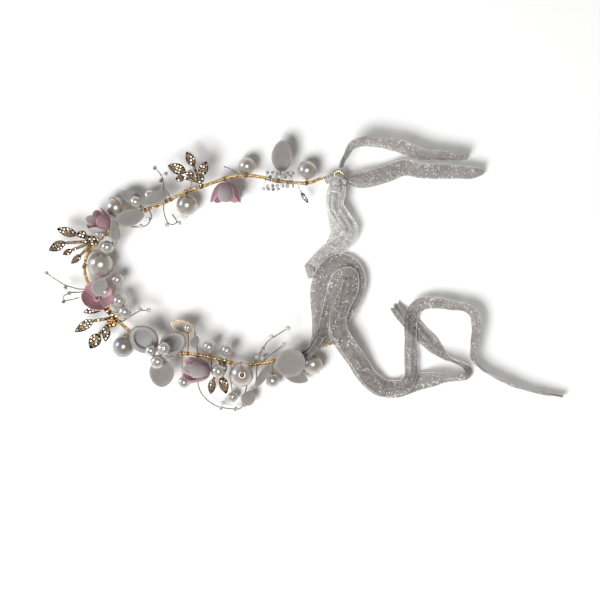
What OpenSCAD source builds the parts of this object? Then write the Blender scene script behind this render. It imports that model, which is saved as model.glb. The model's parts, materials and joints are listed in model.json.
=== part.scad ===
// Flower crown: an open C of wrapped wire that lies round the head, dressed with pearls, resin
// flowers, frosted petals, stone-set leaves and crystal twigs, and tied with organza ribbons.
// The frame: the table is z = 0, +Z is up, and the origin is the middle of the head opening.
// The C is open towards +X, where the ribbons are.

/* [Head wire] */
// Length of the head opening, from the back of the curve to the ends of the arms
head_length = 150; // [148:1:190]
// Width of the head opening, between the middles of the two arms
head_width = 108; // [106:1:135]
// Height of the wire above the table
wire_height = 9; // [8.6:0.2:11]
// Thickness of the core wire
core_d = 1.2; // [0.8:0.1:1.3]
// Thickness over the fine wire that is wound round the core
wrap_d = 2.2; // [2:0.1:2.4]
// Gap left between the core and the winding
wrap_gap = 0.05; // [0.02:0.01:0.08]
// Width across the hole of the eyelet at each end of the wire
eyelet_hole_d = 4; // [3.6:0.1:4.4]

/* [Pearls] */
// Diameter of the biggest pearl, at the back of the curve
big_pearl_d = 15; // [12:0.1:15.4]
// Diameter of the large pearls
large_pearl_d = 12.4; // [10:0.1:12.8]
// Diameter of the two pearls on the upper arm and the one at the lower end
medium_pearl_d = 11.2; // [9:0.1:11.4]
// Diameter of the pearl with its hole on top
top_hole_pearl_d = 14; // [12:0.1:14.4]
// Diameter of the small pearl beads
bead_pearl_d = 7; // [5.8:0.1:7.2]
// Diameter of the smallest pearl beads
tiny_pearl_d = 5; // [4:0.1:5.4]
// Thickness of the wires that the pearls are threaded on
thread_d = 0.7; // [0.5:0.05:0.9]
// Room round a threading wire inside a pearl, on the radius
thread_gap = 0.05; // [0.02:0.01:0.08]
// Length of threading wire that stands out of a pearl
thread_end = 0.9; // [0.6:0.1:1.2]

/* [Flowers] */
// Diameter across the petals of the three bell flowers
bell_d = 15.5; // [12:0.1:16]
// Length of a bell flower from its base to its petal tips
bell_length = 11.5; // [9:0.1:12]
// Diameter across the petals of the open flower
open_flower_d = 18.6; // [15:0.1:19]
// Depth of the open flower
open_flower_depth = 8.5; // [7:0.1:9]
// Thickness of the resin petals
resin_t = 1.1; // [0.8:0.1:1.3]
// Number of petals on a resin flower
flower_petals = 5; // [4:1:6]

/* [Frosted petals] */
// Thickness of a frosted petal
frosted_t = 1.5; // [1:0.1:1.8]
// Size of the frosted petals, as a share of their drawn size
petal_scale = 1; // [0.83:0.01:1.03]

/* [Leaves] */
// Thickness of the cast leaves
leaf_t = 1.2; // [1:0.1:1.5]
// Diameter of the stones set on the leaves
stone_d = 1.4; // [1:0.1:1.6]
// Thickness of the cast leaf stalks
stalk_d = 1; // [0.8:0.1:1.2]

/* [Crystals and silver wire] */
// Diameter of the crystal beads
crystal_d = 2.2; // [1.6:0.1:2.6]
// Thickness of the silver wire
silver_d = 0.6; // [0.5:0.05:0.8]

/* [Ribbons] */
// Width of the organza ribbon
ribbon_w = 10; // [8:0.1:10.5]
// Depth that one layer of ribbon takes up, with its ripples
ribbon_t = 0.5; // [0.4:0.05:0.6]

/* [Hidden] */

smooth = 48;
eye_wire_d = core_d;
eye_r = (eyelet_hole_d + eye_wire_d) / 2;

// Places are drawn for this head opening and wire height, and move with the real ones.
drawn_length = 150;
drawn_width = 108;
drawn_height = 9;
raised = wire_height - drawn_height;

// The place of something that keeps its own height over the table.
function table_spot(p) = [p[0] * head_length / drawn_length, p[1] * head_width / drawn_width, p[2]];

// The place of something that is held up by the wire.
function spot(p) = table_spot(p) + [0, 0, raised];
function unit(v) = v / norm(v);

// Smooth curve through a list of points; s counts along the list.
function spline(p, s) =
    let (last = len(p) - 1, i = min(floor(s), last - 1), f = s - i)
    let (a = p[max(i - 1, 0)], b = p[i], c = p[i + 1], d = p[min(i + 2, last)])
    b + (c - a) * f / 2 + (2 * a - 5 * b + 4 * c - d) * f * f / 2
      + (3 * b - a - 3 * c + d) * f * f * f / 2;

function samples(p, steps) =
    [for (i = [0 : (len(p) - 1) * steps]) spline(p, i / steps)];

function tangent(p, i) = unit(p[min(i + 1, len(p) - 1)] - p[max(i - 1, 0)]);
function level_side(t) = unit(cross([0, 0, 1], t));

// Solid skin over a row of rings that all have the same number of corners.
module loft(rings) {
    sides = len(rings[0]);
    last = len(rings) - 1;
    skin = [for (i = [0 : last - 1], j = [0 : sides - 1])
        let (k = (j + 1) % sides, a = i * sides, b = a + sides)
        each [[a + j, a + k, b + k], [a + j, b + k, b + j]]];
    near_end = [[for (j = [sides - 1 : -1 : 0]) j]];
    far_end = [[for (j = [0 : sides - 1]) last * sides + j]];
    polyhedron(points = [for (r = rings) each r], faces = concat(skin, near_end, far_end));
}

// Rings of a round tube along points.
function tube_rings(p, r, sides) =
    [for (i = [0 : len(p) - 1])
        let (t = tangent(p, i), side = level_side(t), up = cross(t, side))
        [for (j = [0 : sides - 1])
            let (a = -360 * j / sides) p[i] + r * (side * cos(a) + up * sin(a))]];

module tube(p, d, sides = 8) {
    loft(tube_rings(p, d / 2, sides));
}

// Straight round wire between two points.
module rod(from, to, d) {
    v = to - from;
    translate(from)
        rotate([0, acos(v[2] / norm(v)), atan2(v[1], v[0])])
            cylinder(d = d, h = norm(v), $fn = smooth);
}

// Turns +Z on to a direction.
module aim(dir) {
    rotate([0, acos(dir[2] / norm(dir)), atan2(dir[1], dir[0])])
        children();
}

// Round bead with a hole through its poles, which then lie along dir.
module bored_bead(at, d, dir, hole_d) {
    translate(at)
        aim(dir)
            difference() {
                sphere(d = d, $fn = smooth);
                cylinder(d = hole_d, h = 2 * d, center = true, $fn = smooth);
            }
}

module crystal(at, d = crystal_d) {
    translate(spot(at))
        sphere(d = d, $fn = smooth);
}

/* Head wire. Each point is along, across and how far it droops below the wire height. */
wire_route = [
    [68.5, 54, 2], [62, 53, 1.5], [54, 50.2, 0.5], [45, 50.5, 0], [36, 51.5, 0], [25, 54, 0],
    [14, 54.5, 0], [5, 52.5, 0], [-5, 49, 0], [-16, 45.5, 0], [-27, 40, 0], [-40, 34.5, 0],
    [-53, 28, 0], [-64, 20, 0], [-72.5, 11, 0.8], [-75.5, 1, 2.6], [-72, -10, 4.4],
    [-62, -22.5, 3.6], [-52, -33, 1.2], [-40, -41, 0], [-27, -47.5, 0], [-14, -48.5, 0], [-1, -51, 0],
    [11, -54, 0], [24, -54.5, 0], [36, -52, 0.5], [47, -48.5, 2], [56.5, -45.5, 3.5],
    [64, -43.5, 5], [72, -41.5, 6.5]];
wire_points = [for (p = wire_route) spot([p[0], p[1], drawn_height - p[2]])];
wire_steps = 2;
wire_last = len(wire_points) - 1;
// The winding stops short of both knots.
wrap_first = 1;
wrap_last = wire_last - 3.5;

function wire_at(s) = spline(wire_points, s);

module base_wire() {
    color("goldenrod")
        tube(samples(wire_points, wire_steps), core_d, 8);
}

module wrapping_wire() {
    stops = [for (s = [wrap_first : 0.5 : wrap_last]) wire_at(s)];
    color("gold")
        difference() {
            tube(stops, wrap_d, 8);
            tube(samples(wire_points, wire_steps), core_d + 2 * wrap_gap, 8);
        }
}

// Eyelet: the end of the core wire bent round into a ring that lies level.
module eyelet(middle) {
    color("goldenrod")
        translate(middle)
            rotate_extrude($fn = smooth)
                translate([eye_r, 0])
                    circle(d = eye_wire_d, $fn = 24);
}

upper_out = unit(wire_at(0) - wire_at(0.2));
lower_out = unit(wire_at(wire_last) - wire_at(wire_last - 0.2));
eye_reach = eye_r + eye_wire_d / 2;
upper_eye = wire_at(0) + upper_out * eye_reach;
lower_eye = wire_at(wire_last) + lower_out * eye_reach;

module upper_eyelet() {
    eyelet(upper_eye);
}

module lower_eyelet() {
    eyelet(lower_eye);
}

/* Pearls: middle, diameter, direction of the hole, and where its wire leaves the head wire. */
pearls = [
    [[-66.2, 3, big_pearl_d / 2], big_pearl_d, [-1, 0, 0.12], 14.9],
    [[-57.4, 36, large_pearl_d / 2 + 0.4], large_pearl_d, [0.55, -0.8, 0.25], 12.1],
    [[-16.2, 37.5, large_pearl_d / 2], large_pearl_d, [0, 1, 0.3], 9],
    [[18.6, 60, medium_pearl_d / 2], medium_pearl_d - 1, [0, -1, 0.6], 5.6],
    [[53.4, 57.6, medium_pearl_d / 2], medium_pearl_d, [0, -1, 0.35], 2.1],
    [[-53, -44.4, large_pearl_d / 2], large_pearl_d, [0.5, 1, 0.25], 18.3],
    [[15.4, -60.6, top_hole_pearl_d / 2 + 7.4 + raised], top_hole_pearl_d, [0.1, 0, 1], 23.3],
    [[56.8, -54.8, medium_pearl_d / 2], medium_pearl_d, [-0.7, 1, 0.1], 26.4]];

module pearl(n) {
    p = pearls[n - 1];
    color("ivory")
        bored_bead(table_spot(p[0]), p[1], p[2], thread_d + 2 * thread_gap);
}

// Width of the twist where a threading wire comes out of its pearl
twist_d = 1.4;

// Each threading wire runs through its pearl, is twisted, and goes on to the head wire. On a
// pearl with an upright hole the twist is below it.
module pearl_threading_wires() {
    color("darkgoldenrod")
        for (p = pearls) {
            middle = table_spot(p[0]);
            upright = p[2][2] > 0.9;
            reach = unit(p[2]) * (p[1] / 2 + thread_end) * (upright ? -1 : 1);
            near = middle + reach;
            far = middle - reach;
            rod(far, near, thread_d);
            translate(near)
                sphere(d = twist_d, $fn = 24);
            rod(near, wire_at(p[3]), thread_d);
        }
}

/* Flowers: base, direction the cup opens, diameter, length, turn, wire stop. */
flowers = [
    [[-61.5, 25, 12.6], [-0.83, 0.47, 0.3], bell_d - 1, bell_length, 20, 12.8],
    [[-68, -16.8, 7.2], [0.05, 0.45, 0.9], open_flower_d, open_flower_depth, 10, 16.5],
    [[6.4, 50.2, drawn_height], [0, -1, 0], bell_d + 1.4, bell_length, 54, 7],
    [[-3.2, -58.4, 10.5], [-0.95, 0.05, 0.3], bell_d, bell_length + 1.5, 0, 21.8]];
pin_d = 0.8;
pin_gap = 0.05;
// How far a pin stands inside its cup, under its head
pin_stand_out = 2.2;
// How far a pin reaches out behind its cup
pin_tail = 1.2;
pin_head_d = 2;
pin_head_clear = 0.6;
// The flat floor of a cup, round its pin: radius, and thickness as a share of the petals'
floor_r = 1.2;
floor_share = 1.4;
rim_share = 1.2;
// Step of the angle along the curve of a cup's wall, in degrees
wall_step = 16;
wall_start = 10;
// Width of the notch between two petals, and its height over the base, as shares
notch_share = 0.3;
notch_base = 0.22;

// Half section of a cup: its floor, then up the inside of the wall and down the outside.
function cup_outline(r, h) =
    let (floor_t = resin_t * floor_share, low = resin_t * rim_share)
    concat([[0, 0], [0, floor_t], [floor_r, floor_t]],
        [for (a = [wall_start : wall_step : 90])
            [floor_r + (r - resin_t - floor_r) * sin(a), low + (h - low) * (1 - cos(a))]],
        [for (a = [90 : -wall_step : wall_start])
            [floor_r + (r - floor_r) * sin(a), h * (1 - cos(a))]]);

// A cup of resin cut into petals, bored for its pin.
module flower_cup(f) {
    r = f[2] / 2;
    h = f[3];
    color("rosybrown")
        translate(spot(f[0]))
            aim(f[1])
                rotate([0, 0, f[4]])
                    difference() {
                        rotate_extrude($fn = smooth)
                            polygon(cup_outline(r, h));
                        translate([0, 0, -1])
                            cylinder(d = pin_d + 2 * pin_gap, h = h, $fn = smooth);
                        for (k = [1 : flower_petals])
                            rotate([0, 0, 360 * k / flower_petals])
                                rotate([90, 0, 90])
                                    linear_extrude(height = r + 1)
                                        polygon([[0, h * notch_base], [r * notch_share, h + 1],
                                                 [-r * notch_share, h + 1]]);
                    }
}

module flower_pins() {
    color("darkgoldenrod")
        for (f = flowers) {
            base = spot(f[0]);
            back = base - unit(f[1]) * pin_tail;
            rod(back, base + unit(f[1]) * pin_stand_out, pin_d);
            translate(base + unit(f[1]) * (pin_stand_out + pin_head_clear))
                sphere(d = pin_head_d, $fn = 24);
            if (norm(back - wire_at(f[5])) > wrap_d / 4)
                rod(back, wire_at(f[5]), pin_d);
        }
}

/* Frosted petals. */
petal_rings = 9;
petal_sides = 10;
// The rings start and stop just short of the tips, as a share of the length.
tip_share = 0.03;
// Powers that put a petal's widest place a little before its middle and keep its sides full
petal_taper = 0.85;
petal_fullness = 0.7;
// Thickness at the tips, as a share of the thickness at the middle
tip_thickness = 0.35;

// One petal along +X, as a lens section that swells and closes again, dished upwards by cup.
module petal(long, wide, thick, cup) {
    loft([for (i = [0 : petal_rings])
        let (u = tip_share + (1 - 2 * tip_share) * i / petal_rings,
             half = wide / 2 * pow(sin(180 * pow(u, petal_taper)), petal_fullness))
        [for (j = [0 : petal_sides - 1])
            let (a = -360 * j / petal_sides, y = half * cos(a))
            [long * (u - 0.5), y,
             cup * (pow(2 * y / wide, 2) + pow(2 * u - 1, 2))
                + thick / 2 * sin(a) * (tip_thickness + (1 - tip_thickness) * sin(180 * u))]]]);
}

// Sets a petal by its middle, heading, pitch and roll.
module set_petal(p, tint) {
    color(tint)
        translate(spot(p[0]))
            rotate([0, 0, p[1][0]])
                rotate([p[1][2], -p[1][1], 0])
                    petal(p[2][0] * petal_scale, p[2][1] * petal_scale, frosted_t, p[2][2]);
}

/* Each petal: middle, [heading, pitch, roll], [length, width, cup]. */
long_petal_set = [[-48.7, 30.2, 14], [15, 2, -6], [17.4, 10.4, 0.6]];
slim_petal_set = [[-33.6, 42, 12.8], [25, 0, 8], [16, 7.5, 0.5]];
tall_petal_set = [[38.9, 66, 8], [88, 6, 0], [18, 12.2, 0.8]];
white_petal_sets = [
    [[-41.2, -39.5, 14], [143, 8, 0], [18, 15.5, 2.6]],
    [[-23.6, -42, 14], [28, 8, 0], [15.7, 13.6, 2.4]],
    [[-30.5, -59.5, 12.5], [270, -6, 0], [16.2, 14.4, 1.4]]];
round_petal_set = [[43.5, -54, 13], [200, 0, -6], [17.6, 16.6, 0.8]];
low_petal_set = [[47.2, -62.2, 6.5], [345, 0, 10], [14, 7, 0.5]];
narrow_petal_set = [[28, -61, 8.5], [57, 5, 0], [18, 4.6, 0.3]];
small_petal_sets = [
    [[-48.7, 42.4, 7.5], [160, 0, 0], [12, 7.4, 0.5]],
    [[-57.6, 21.6, 15], [95, 0, 0], [11.6, 6.4, 0.4]],
    [[-11.3, -41.5, 12.5], [70, 0, 0], [7, 5.2, 0.4]],
    [[19.4, -74.2, 6], [60, 0, 0], [9.4, 8, 0.4]]];
gauze_set = [[-18.5, -32.8, 9], [165, 0, 0], [14, 6.6, 0.6]];
inner_petal_sets = [
    [[-71.2, 28.5, 15.6], [165, 14, 8], [7.6, 6, 0.5]],
    [[-66, -9.8, 13.6], [70, 6, 0], [11, 10, 0.8]],
    [[-13, -57.6, 13], [178, 12, 0], [12, 7.2, 0.6]]];

// Petal wires: from the head wire to near the base of each petal.
petal_wire_ends = [
    [[-41.5, 32.1, 11.6], 11.2], [[-26.6, 44.9, 11.6], 9.9], [[38.8, 57.6, 7.2], 4],
    [[-34.2, -46, 10.6], 19.6], [[-30, -45.6, 10.9], 20], [[-30.6, -52, 10.6], 20.4],
    [[51.4, -51, 11.6], 25.9], [[40.9, -60.4, 5.6], 25.4], [[23.4, -68, 7], 24],
    [[-43.3, 40.2, 7], 11.2], [[-57.2, 26.6, 13], 12.6], [[-12.6, -44.4, 11.4], 21.3],
    [[17.2, -70.6, 5.4], 23.8], [[-12, -34.8, 8.6], 21.3]];

module petal_wires() {
    color("darkgoldenrod")
        for (w = petal_wire_ends)
            rod(wire_at(w[1]), spot(w[0]), thread_d);
}

/* Cast leaves. Each leaf: tip-ward middle, heading, length, width; then the hub and wire stop. */
sprays = [
    [[[-85.3, 22, 12], 163, 12, 5.4], [[-91, 13.6, 12], 207, 10.5, 5.8],
     [[-85, 10.2, 10.5], 207, 6.2, 3.6], [[-80, 6.2, 11], 222, 7.6, 3.8],
     [[-76.6, 20.6, 12.6], 163, 5.6, 4.4], [[-70.8, 17.8, 12.6], 135, 5, 4.6]],
    [[[-21.8, 58.4, 13], 160, 10.8, 6.4], [[-14, 64, 14], 118, 9.4, 5.2],
     [[-6.4, 58.4, 13.4], 68, 9, 5.6], [[-20, 52.8, 12], 190, 5.4, 4],
     [[-8, 53.2, 12.6], 100, 5, 4.2]],
    [[[-69.8, -22.8, 8.4], 196, 12.6, 4.8], [[-75.4, -32.4, 12], 213, 12.6, 5.4],
     [[-69.4, -41.2, 11], 238, 10, 7], [[-62.6, -37, 11], 264, 8.8, 4.8],
     [[-59.4, -30.4, 13], 220, 7, 5.8]],
    [[[-1.7, -67.6, 7], 262, 8.4, 4.6], [[5.4, -66.8, 8], 285, 10, 5.4],
     [[5, -56.8, 10], 275, 7.4, 4.2]]];
spray_hubs = [[[-69, 16.6, 10.8], 13.4], [[-8.6, 50.8, 10.8], 8.4],
              [[-58.4, -27.6, 10.8], 17.4], [[4.2, -53, 10.4], 22.4]];

module leaf_spray(n) {
    hub = spot(spray_hubs[n - 1][0]);
    color("darkkhaki") {
        for (leaf = sprays[n - 1]) {
            at = spot(leaf[0]);
            back = [cos(leaf[1]), sin(leaf[1]), 0] * leaf[2] * 0.38;
            translate(at)
                rotate([0, 0, leaf[1]])
                    petal(leaf[2], leaf[3], leaf_t, 0);
            tube([hub, (hub + at - back) / 2 - [0, 0, 0.3], at - back], stalk_d, 6);
        }
        tube([hub, (hub + wire_at(spray_hubs[n - 1][1])) / 2, wire_at(spray_hubs[n - 1][1])],
             stalk_d, 6);
    }
}

stone_pitch = 2.1;
stone_clear = 0.03;

// A row of stones along the middle of every leaf, each seated just clear of the metal.
module leaf_stones() {
    color("lightgrey")
        for (spray = sprays, leaf = spray) {
            count = max(1, floor(leaf[2] * 0.8 / stone_pitch));
            for (k = [0 : count - 1]) {
                along = (k - (count - 1) / 2) * stone_pitch;
                translate(spot(leaf[0]) + [cos(leaf[1]) * along, sin(leaf[1]) * along,
                                           leaf_t / 2 + stone_d / 2 + stone_clear])
                    sphere(d = stone_d, $fn = 24);
            }
        }
}

/* Pearl beads: middle, diameter, wire stop. */
upper_beads = [
    [[-45.8, 39.4, 11.4], tiny_pearl_d + 0.8, 11], [[-37.7, 42.8, 8], tiny_pearl_d + 0.8, 10.5],
    [[-62.2, 13, 13], bead_pearl_d, 14], [[-13.9, 55.7, 8.5], tiny_pearl_d, 8.8],
    [[-57.4, 16.4, 12], tiny_pearl_d - 1.4, 12.8], [[-67.2, 20.6, 15.4], tiny_pearl_d - 2.6, 13.15],
    [[-64.8, 20.4, 15.4], tiny_pearl_d - 2.6, 12.95]];
lower_beads = [
    [[-56.4, -5.6, 8], bead_pearl_d - 0.4, 17], [[-55.1, -18, 12.2], bead_pearl_d, 16.8],
    [[-52, -24.4, 12.2], bead_pearl_d, 17.15],
    [[-29.2, -45.6, 19.6], bead_pearl_d + 0.4, 19.8], [[-36.6, -46.6, 19], bead_pearl_d - 1, 19.3],
    [[-32.8, -53, 19], bead_pearl_d + 0.4, 20.2], [[-15.4, -33.4, 13.4], tiny_pearl_d - 0.4, 20.9],
    [[-3.2, -44.6, 10.4], bead_pearl_d, 21.8], [[7, -46.6, 9.4], bead_pearl_d - 0.4, 22.6],
    [[2.2, -58.6, 15.2], bead_pearl_d + 0.4, 22.3], [[-18, -65.2, 3.4], bead_pearl_d - 0.8, 20.6],
    [[33.4, -64.2, 5.4], bead_pearl_d + 0.2, 24.8], [[10.2, -73.6, 4.4], bead_pearl_d - 1.4, 22.9]];

function bead_dir(b) = unit(spot(b[0]) - wire_at(b[2]));

module bead_row(beads) {
    color("ivory")
        for (b = beads)
            bored_bead(spot(b[0]), b[1], bead_dir(b), thread_d + 2 * thread_gap);
}

module bead_wires() {
    color("darkgoldenrod")
        for (b = concat(upper_beads, lower_beads))
            rod(wire_at(b[2]), spot(b[0]) + bead_dir(b) * (b[1] / 2 + 0.4), thread_d);
}

/* Silver twigs. Each is a route of points; its last point is a stop on the head wire. */
left_twigs = [
    [[-96, -2.6, 10], [-91, -6, 9.6], [-86.4, -8.7, 9], [-79, -11, 8.6]],
    [[-79, -13, 9.6], [-83, -13.2, 11], [-87, -15, 11.4], [-86.6, -17.6, 11], [-82, -17, 9.8],
     [-78.6, -16, 8.8]]];
top_twigs = [
    [[-33.2, 57.6, 12], [-31.4, 55.4, 11.4], [-29.8, 52, 10.4], [-29.4, 47.6, 9.4], [-28.4, 42, 9]],
    [[-29.4, 38, 9], [-29.4, 34, 8.6], [-27.6, 28, 7.4], [-24.6, 26.2, 7], [-22, 28, 7.4],
     [-24.4, 32, 8.2]],
    [[-37.6, 34, 8.6], [-36.6, 30.4, 8], [-39, 26.2, 7.6], [-43, 24.9, 7.6], [-49, 25.2, 8]],
    [[13.6, 55.6, 9.4], [9, 58.4, 10], [5.4, 59.8, 10.6]]];
lower_twigs = [
    [[-53, -29.6, 9.6], [-48, -26.4, 10.4], [-43, -23.6, 11], [-39.4, -23.4, 11]],
    [[-9.6, -66.6, 7], [-7.6, -71.6, 6], [-3, -76.4, 5], [3.2, -79.4, 4.4], [13, -80.6, 4],
     [15.6, -79.4, 4]],
    [[23, -54.6, 9.8], [25.6, -49, 10.6], [28, -45.4, 11.4], [31, -41, 12.4], [36, -37.6, 13.4],
     [41.2, -34.4, 14]],
    [[27, -54, 9.4], [32, -49.4, 10], [39, -44, 10.8]]];

module twigs(set) {
    color("silver")
        for (route = set)
            tube(samples([for (p = route) spot(p)], 2), silver_d, 6);
}

// A crystal is threaded at each of these places.
left_crystals = [[-97.2, -1.8, 10.1], [-86.4, -10.4, 9.3], [-84, -13.4, 13], [-87.2, -18.2, 13]];
top_crystals = [[-34.6, 59, 12.2], [-28.2, 55.6, 12.6], [-30.8, 51.6, 12.4], [-20.6, 27.2, 7.5],
    [-27.6, 26, 9.2], [-38, 29.2, 10], [-42.6, 25.2, 9.6]];
lower_crystals = [[-43, -22.6, 12.8], [-38, -23.2, 11.2], [4.6, -77, 5.4], [3.4, -80, 6.2],
    [12.2, -80.6, 5.8], [16.8, -78.4, 4.4], [24.6, -50.4, 12.6], [27.6, -51, 11.6],
    [30, -49, 11.6], [27.8, -45.6, 13.3], [32.8, -38.6, 14.6], [42.4, -33.6, 14.2],
    [39.8, -42.8, 12.2]];

module crystals(places, d = crystal_d) {
    color("lightsteelblue")
        for (p = places)
            crystal(p, d);
}

// Rows of seed crystals: across, height, how many.
cluster_rows = [[56, 11.6, 6], [53.8, 13, 5], [48.4, 11.4, 6], [46.6, 9, 4]];
cluster_first = 30;
cluster_pitch = 2.9;
cluster_bead_d = 2.3;
// The rows step along with their height from here, so that they don't line up.
cluster_level = 11;

// Seed crystals sewn along the head wire on the upper arm, in rows above and below it.
module crystal_cluster() {
    color("lightsteelblue")
        for (row = cluster_rows, k = [0 : row[2] - 1])
            crystal([cluster_first + k * cluster_pitch + row[1] - cluster_level, row[0], row[1]],
                    cluster_bead_d);
}

silver_leaf_long = 7.6;
silver_leaf_wide = 2.6;
silver_leaf_t = 1;

module silver_leaf() {
    color("silver") {
        tube([spot([48, 49.6, 8.4]), spot([49, 46.6, 8.2]), spot([50.4, 44.4, 8])], silver_d, 6);
        translate(spot([52, 41.8, 7.8]))
            rotate([0, 0, 304])
                petal(silver_leaf_long, silver_leaf_wide, silver_leaf_t, 0);
    }
}

/* Ribbons. Each stop: along, across, height, tilt of the width, and how far it is gathered. */
knot_r = 3.4;
knot_gap = 0.3;
// Thickness of the ribbon where it lies on a face of the eyelet
knot_fold = 1.4;

// The ribbon drawn through the upper eyelet and over both its faces, as one turned spool.
module ribbon_upper_knot() {
    throat = eyelet_hole_d / 2 - knot_gap;
    face = eye_wire_d / 2 + knot_gap;
    color("gainsboro")
        translate(upper_eye)
            rotate_extrude($fn = smooth)
                polygon([[0, -face - knot_fold], [knot_r, -face - knot_fold], [knot_r, -face],
                         [throat, -face], [throat, face], [knot_r, face],
                         [knot_r, face + knot_fold], [0, face + knot_fold]]);
}

lower_knot_at = wire_last - 2.1;
lower_knot_long = 6;
lower_knot_d = 4.6;

// The ribbon wound round the bare stretch of the lower arm.
module ribbon_lower_knot() {
    middle = wire_at(lower_knot_at);
    way = unit(wire_at(lower_knot_at + 0.3) - wire_at(lower_knot_at - 0.3));
    color("gainsboro")
        difference() {
            rod(middle - way * lower_knot_long / 2, middle + way * lower_knot_long / 2,
                lower_knot_d);
            rod(middle - way * lower_knot_long, middle + way * lower_knot_long,
                core_d + 2 * knot_gap);
        }
}

// A ribbon that starts at the wire rises with it: its first two stops fully, and then less
// and less, down to nothing at this stop.
rising_stops = 4;

function with_rise(stops) =
    [for (i = [0 : len(stops) - 1])
        let (share = min(1, max(0, (rising_stops - i) / (rising_stops - 1))))
        stops[i] + [0, 0, raised * share, 0, 0]];

// Four-cornered rings of a flat ribbon; tilt turns its width about its run.
function ribbon_rings(stops, thick) =
    let (p = [for (s = stops) [s[0], s[1], s[2]]])
    [for (i = [0 : len(stops) - 1])
        let (t = tangent(p, i), side = level_side(t), up = cross(t, side),
             across = side * cos(stops[i][3]) + up * sin(stops[i][3]),
             deep = cross(t, across),
             a = across * ribbon_w / 2 * stops[i][4], b = deep * thick / 2)
        [p[i] - a - b, p[i] - a + b, p[i] + a + b, p[i] + a - b]];

ribbon_steps = 2;

module ribbon(from, stops, thick = ribbon_t) {
    color("gainsboro")
        translate(from)
            loft(ribbon_rings(samples(stops, ribbon_steps), thick));
}

upper_tie = [upper_eye[0], upper_eye[1], 0];
lower_tie = [wire_at(lower_knot_at)[0], wire_at(lower_knot_at)[1], 0];
tail_tie = lower_tie + [46, -23.5, 0];

tail_a_stops = [[0.8, 4.2, 9, 68, 0.5], [3, 10, 9.4, 64, 0.7], [7.5, 17.6, 9, 48, 0.9],
    [14, 20, 8, 48, 1], [23, 19.6, 7, 50, 1], [34, 17.6, 6.4, 40, 1], [42, 14.8, 6, 46, 1],
    [50, 12.6, 5.8, 54, 1], [60, 12, 5.4, 58, 0.9], [75, 11.4, 5.2, 60, 0.7]];
tail_b_stops = [[4.2, -2, 7, 30, 0.5], [13, -2.4, 5.4, 10, 0.95], [27, 1, 3.6, 8, 1],
    [38, 5, 3.2, 20, 1], [49, 3, 3.6, 30, 1], [64, 2.8, 4, 34, 1], [77, 2, 4, 36, 0.9],
    [84.4, 3, 4, 50, 0.5]];
upper_loop_stops = [[-2, -4.4, 6.4, 10, 0.6], [-2.4, -10, 6.4, 20, 0.9], [-2.8, -17, 5.6, 48, 0.7],
    [-0.6, -26, 4.4, 18, 1.1], [0.2, -34, 3, 0, 1.1], [-4.2, -43, 1.5, 0, 1], [-10.4, -50, 0.7, 0, 1],
    [-16, -55, 0.7, 0, 1]];

// The two strands of the lower ribbon go up, round the loop and down again, one over the other.
outer_stops = [[-1, -0.6, 8.8, 0, 0.4], [2.6, 3.6, 7.6, 0, 0.6], [5.4, 9.4, 3.8, 0, 0.85],
    [5.4, 19.5, 2, 0, 1], [4.6, 28, 1.8, 0, 1], [5, 37, 1.8, 0, 1], [9, 46, 2, 0, 1],
    [16.4, 50.4, 2.4, 0, 1], [23.6, 47.6, 3, 0, 1], [26.8, 40.4, 4, 0, 1], [25.4, 32, 4.8, 0, 1],
    [21, 23.4, 5.6, 0, 1], [16.4, 15.6, 6.4, 0, 1], [15.4, 9.6, 6.8, 0, 1], [18.6, 3.4, 6.6, 0, 1],
    [25, -5.4, 4.6, 0, 1], [31, -14.6, 2.6, 0, 1], [38, -21.4, 1.6, 0, 1], [43.4, -23.2, 1, 0, 1]];
inner_stops = [[0.4, -1.2, 10.4, 0, 0.4], [4.6, 3.4, 9.2, 0, 0.6], [8.6, 9.8, 5.2, 0, 0.85],
    [11, 20.5, 3.4, 0, 1], [13.8, 31, 3.2, 0, 1], [17, 40.6, 4, 0, 1], [22.6, 42.8, 5.2, 0, 0.9],
    [22.6, 35, 6.2, 0, 1], [18.4, 26.4, 7, 0, 1], [15.6, 18, 7.8, 0, 1], [16.4, 10.2, 8.2, 0, 1],
    [21, 2.6, 8, 0, 1], [27.4, -6.6, 6, 0, 1], [33.6, -15.8, 4, 0, 1], [41, -22, 2.8, 0, 1],
    [44, -22.8, 2.6, 0, 1]];
tail_c_stops = [[3.2, 0, 1, 0, 1], [8, 1.4, 1, 0, 1], [17, 4.6, 1.5, 6, 1],
    [27.4, 6.6, 3.8, 44, 1], [36, 6.6, 5, 66, 0.9], [42.6, 7.6, 5, 58, 0.9],
    [44.8, 10.6, 5, 60, 0.9], [42, 13.8, 5, 70, 0.9], [36, 16.4, 5, 74, 0.9],
    [28.6, 21.4, 3.8, 52, 0.9], [21.6, 28.4, 1.4, 10, 0.9], [13.6, 36.6, 0.6, 0, 0.9],
    [6.6, 44.6, 0.6, 0, 0.9], [2, 50, 0.6, 0, 0.7]];
tail_d_stops = [[3.4, 1, 3.8, 0, 0.9], [8.6, 2.8, 5.2, 6, 0.9], [11.6, 9, 6.2, 12, 0.9],
    [11.6, 20, 5.4, 24, 0.95], [11.6, 34, 4.4, 20, 0.95], [12.4, 43.6, 4, 10, 0.95],
    [17, 49.2, 3.4, 10, 0.95], [25.2, 50.4, 3.4, 25, 0.95], [36.8, 48.8, 4, 45, 0.95],
    [45, 47, 4.2, 50, 0.95], [49.4, 41.8, 4.2, 50, 0.95], [50, 34.4, 4.2, 52, 0.95],
    [48.4, 25, 4.4, 58, 0.95], [47.8, 18.6, 4.8, 72, 0.9], [50.2, 14.4, 4.8, 80, 0.9],
    [55, 10.4, 4.8, 76, 0.9], [62.4, 6.4, 4.6, 74, 0.9], [76.2, 0.8, 4.4, 74, 0.85],
    [89, -2.4, 4.2, 74, 0.8], [100.4, -4, 4, 74, 0.7]];

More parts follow.
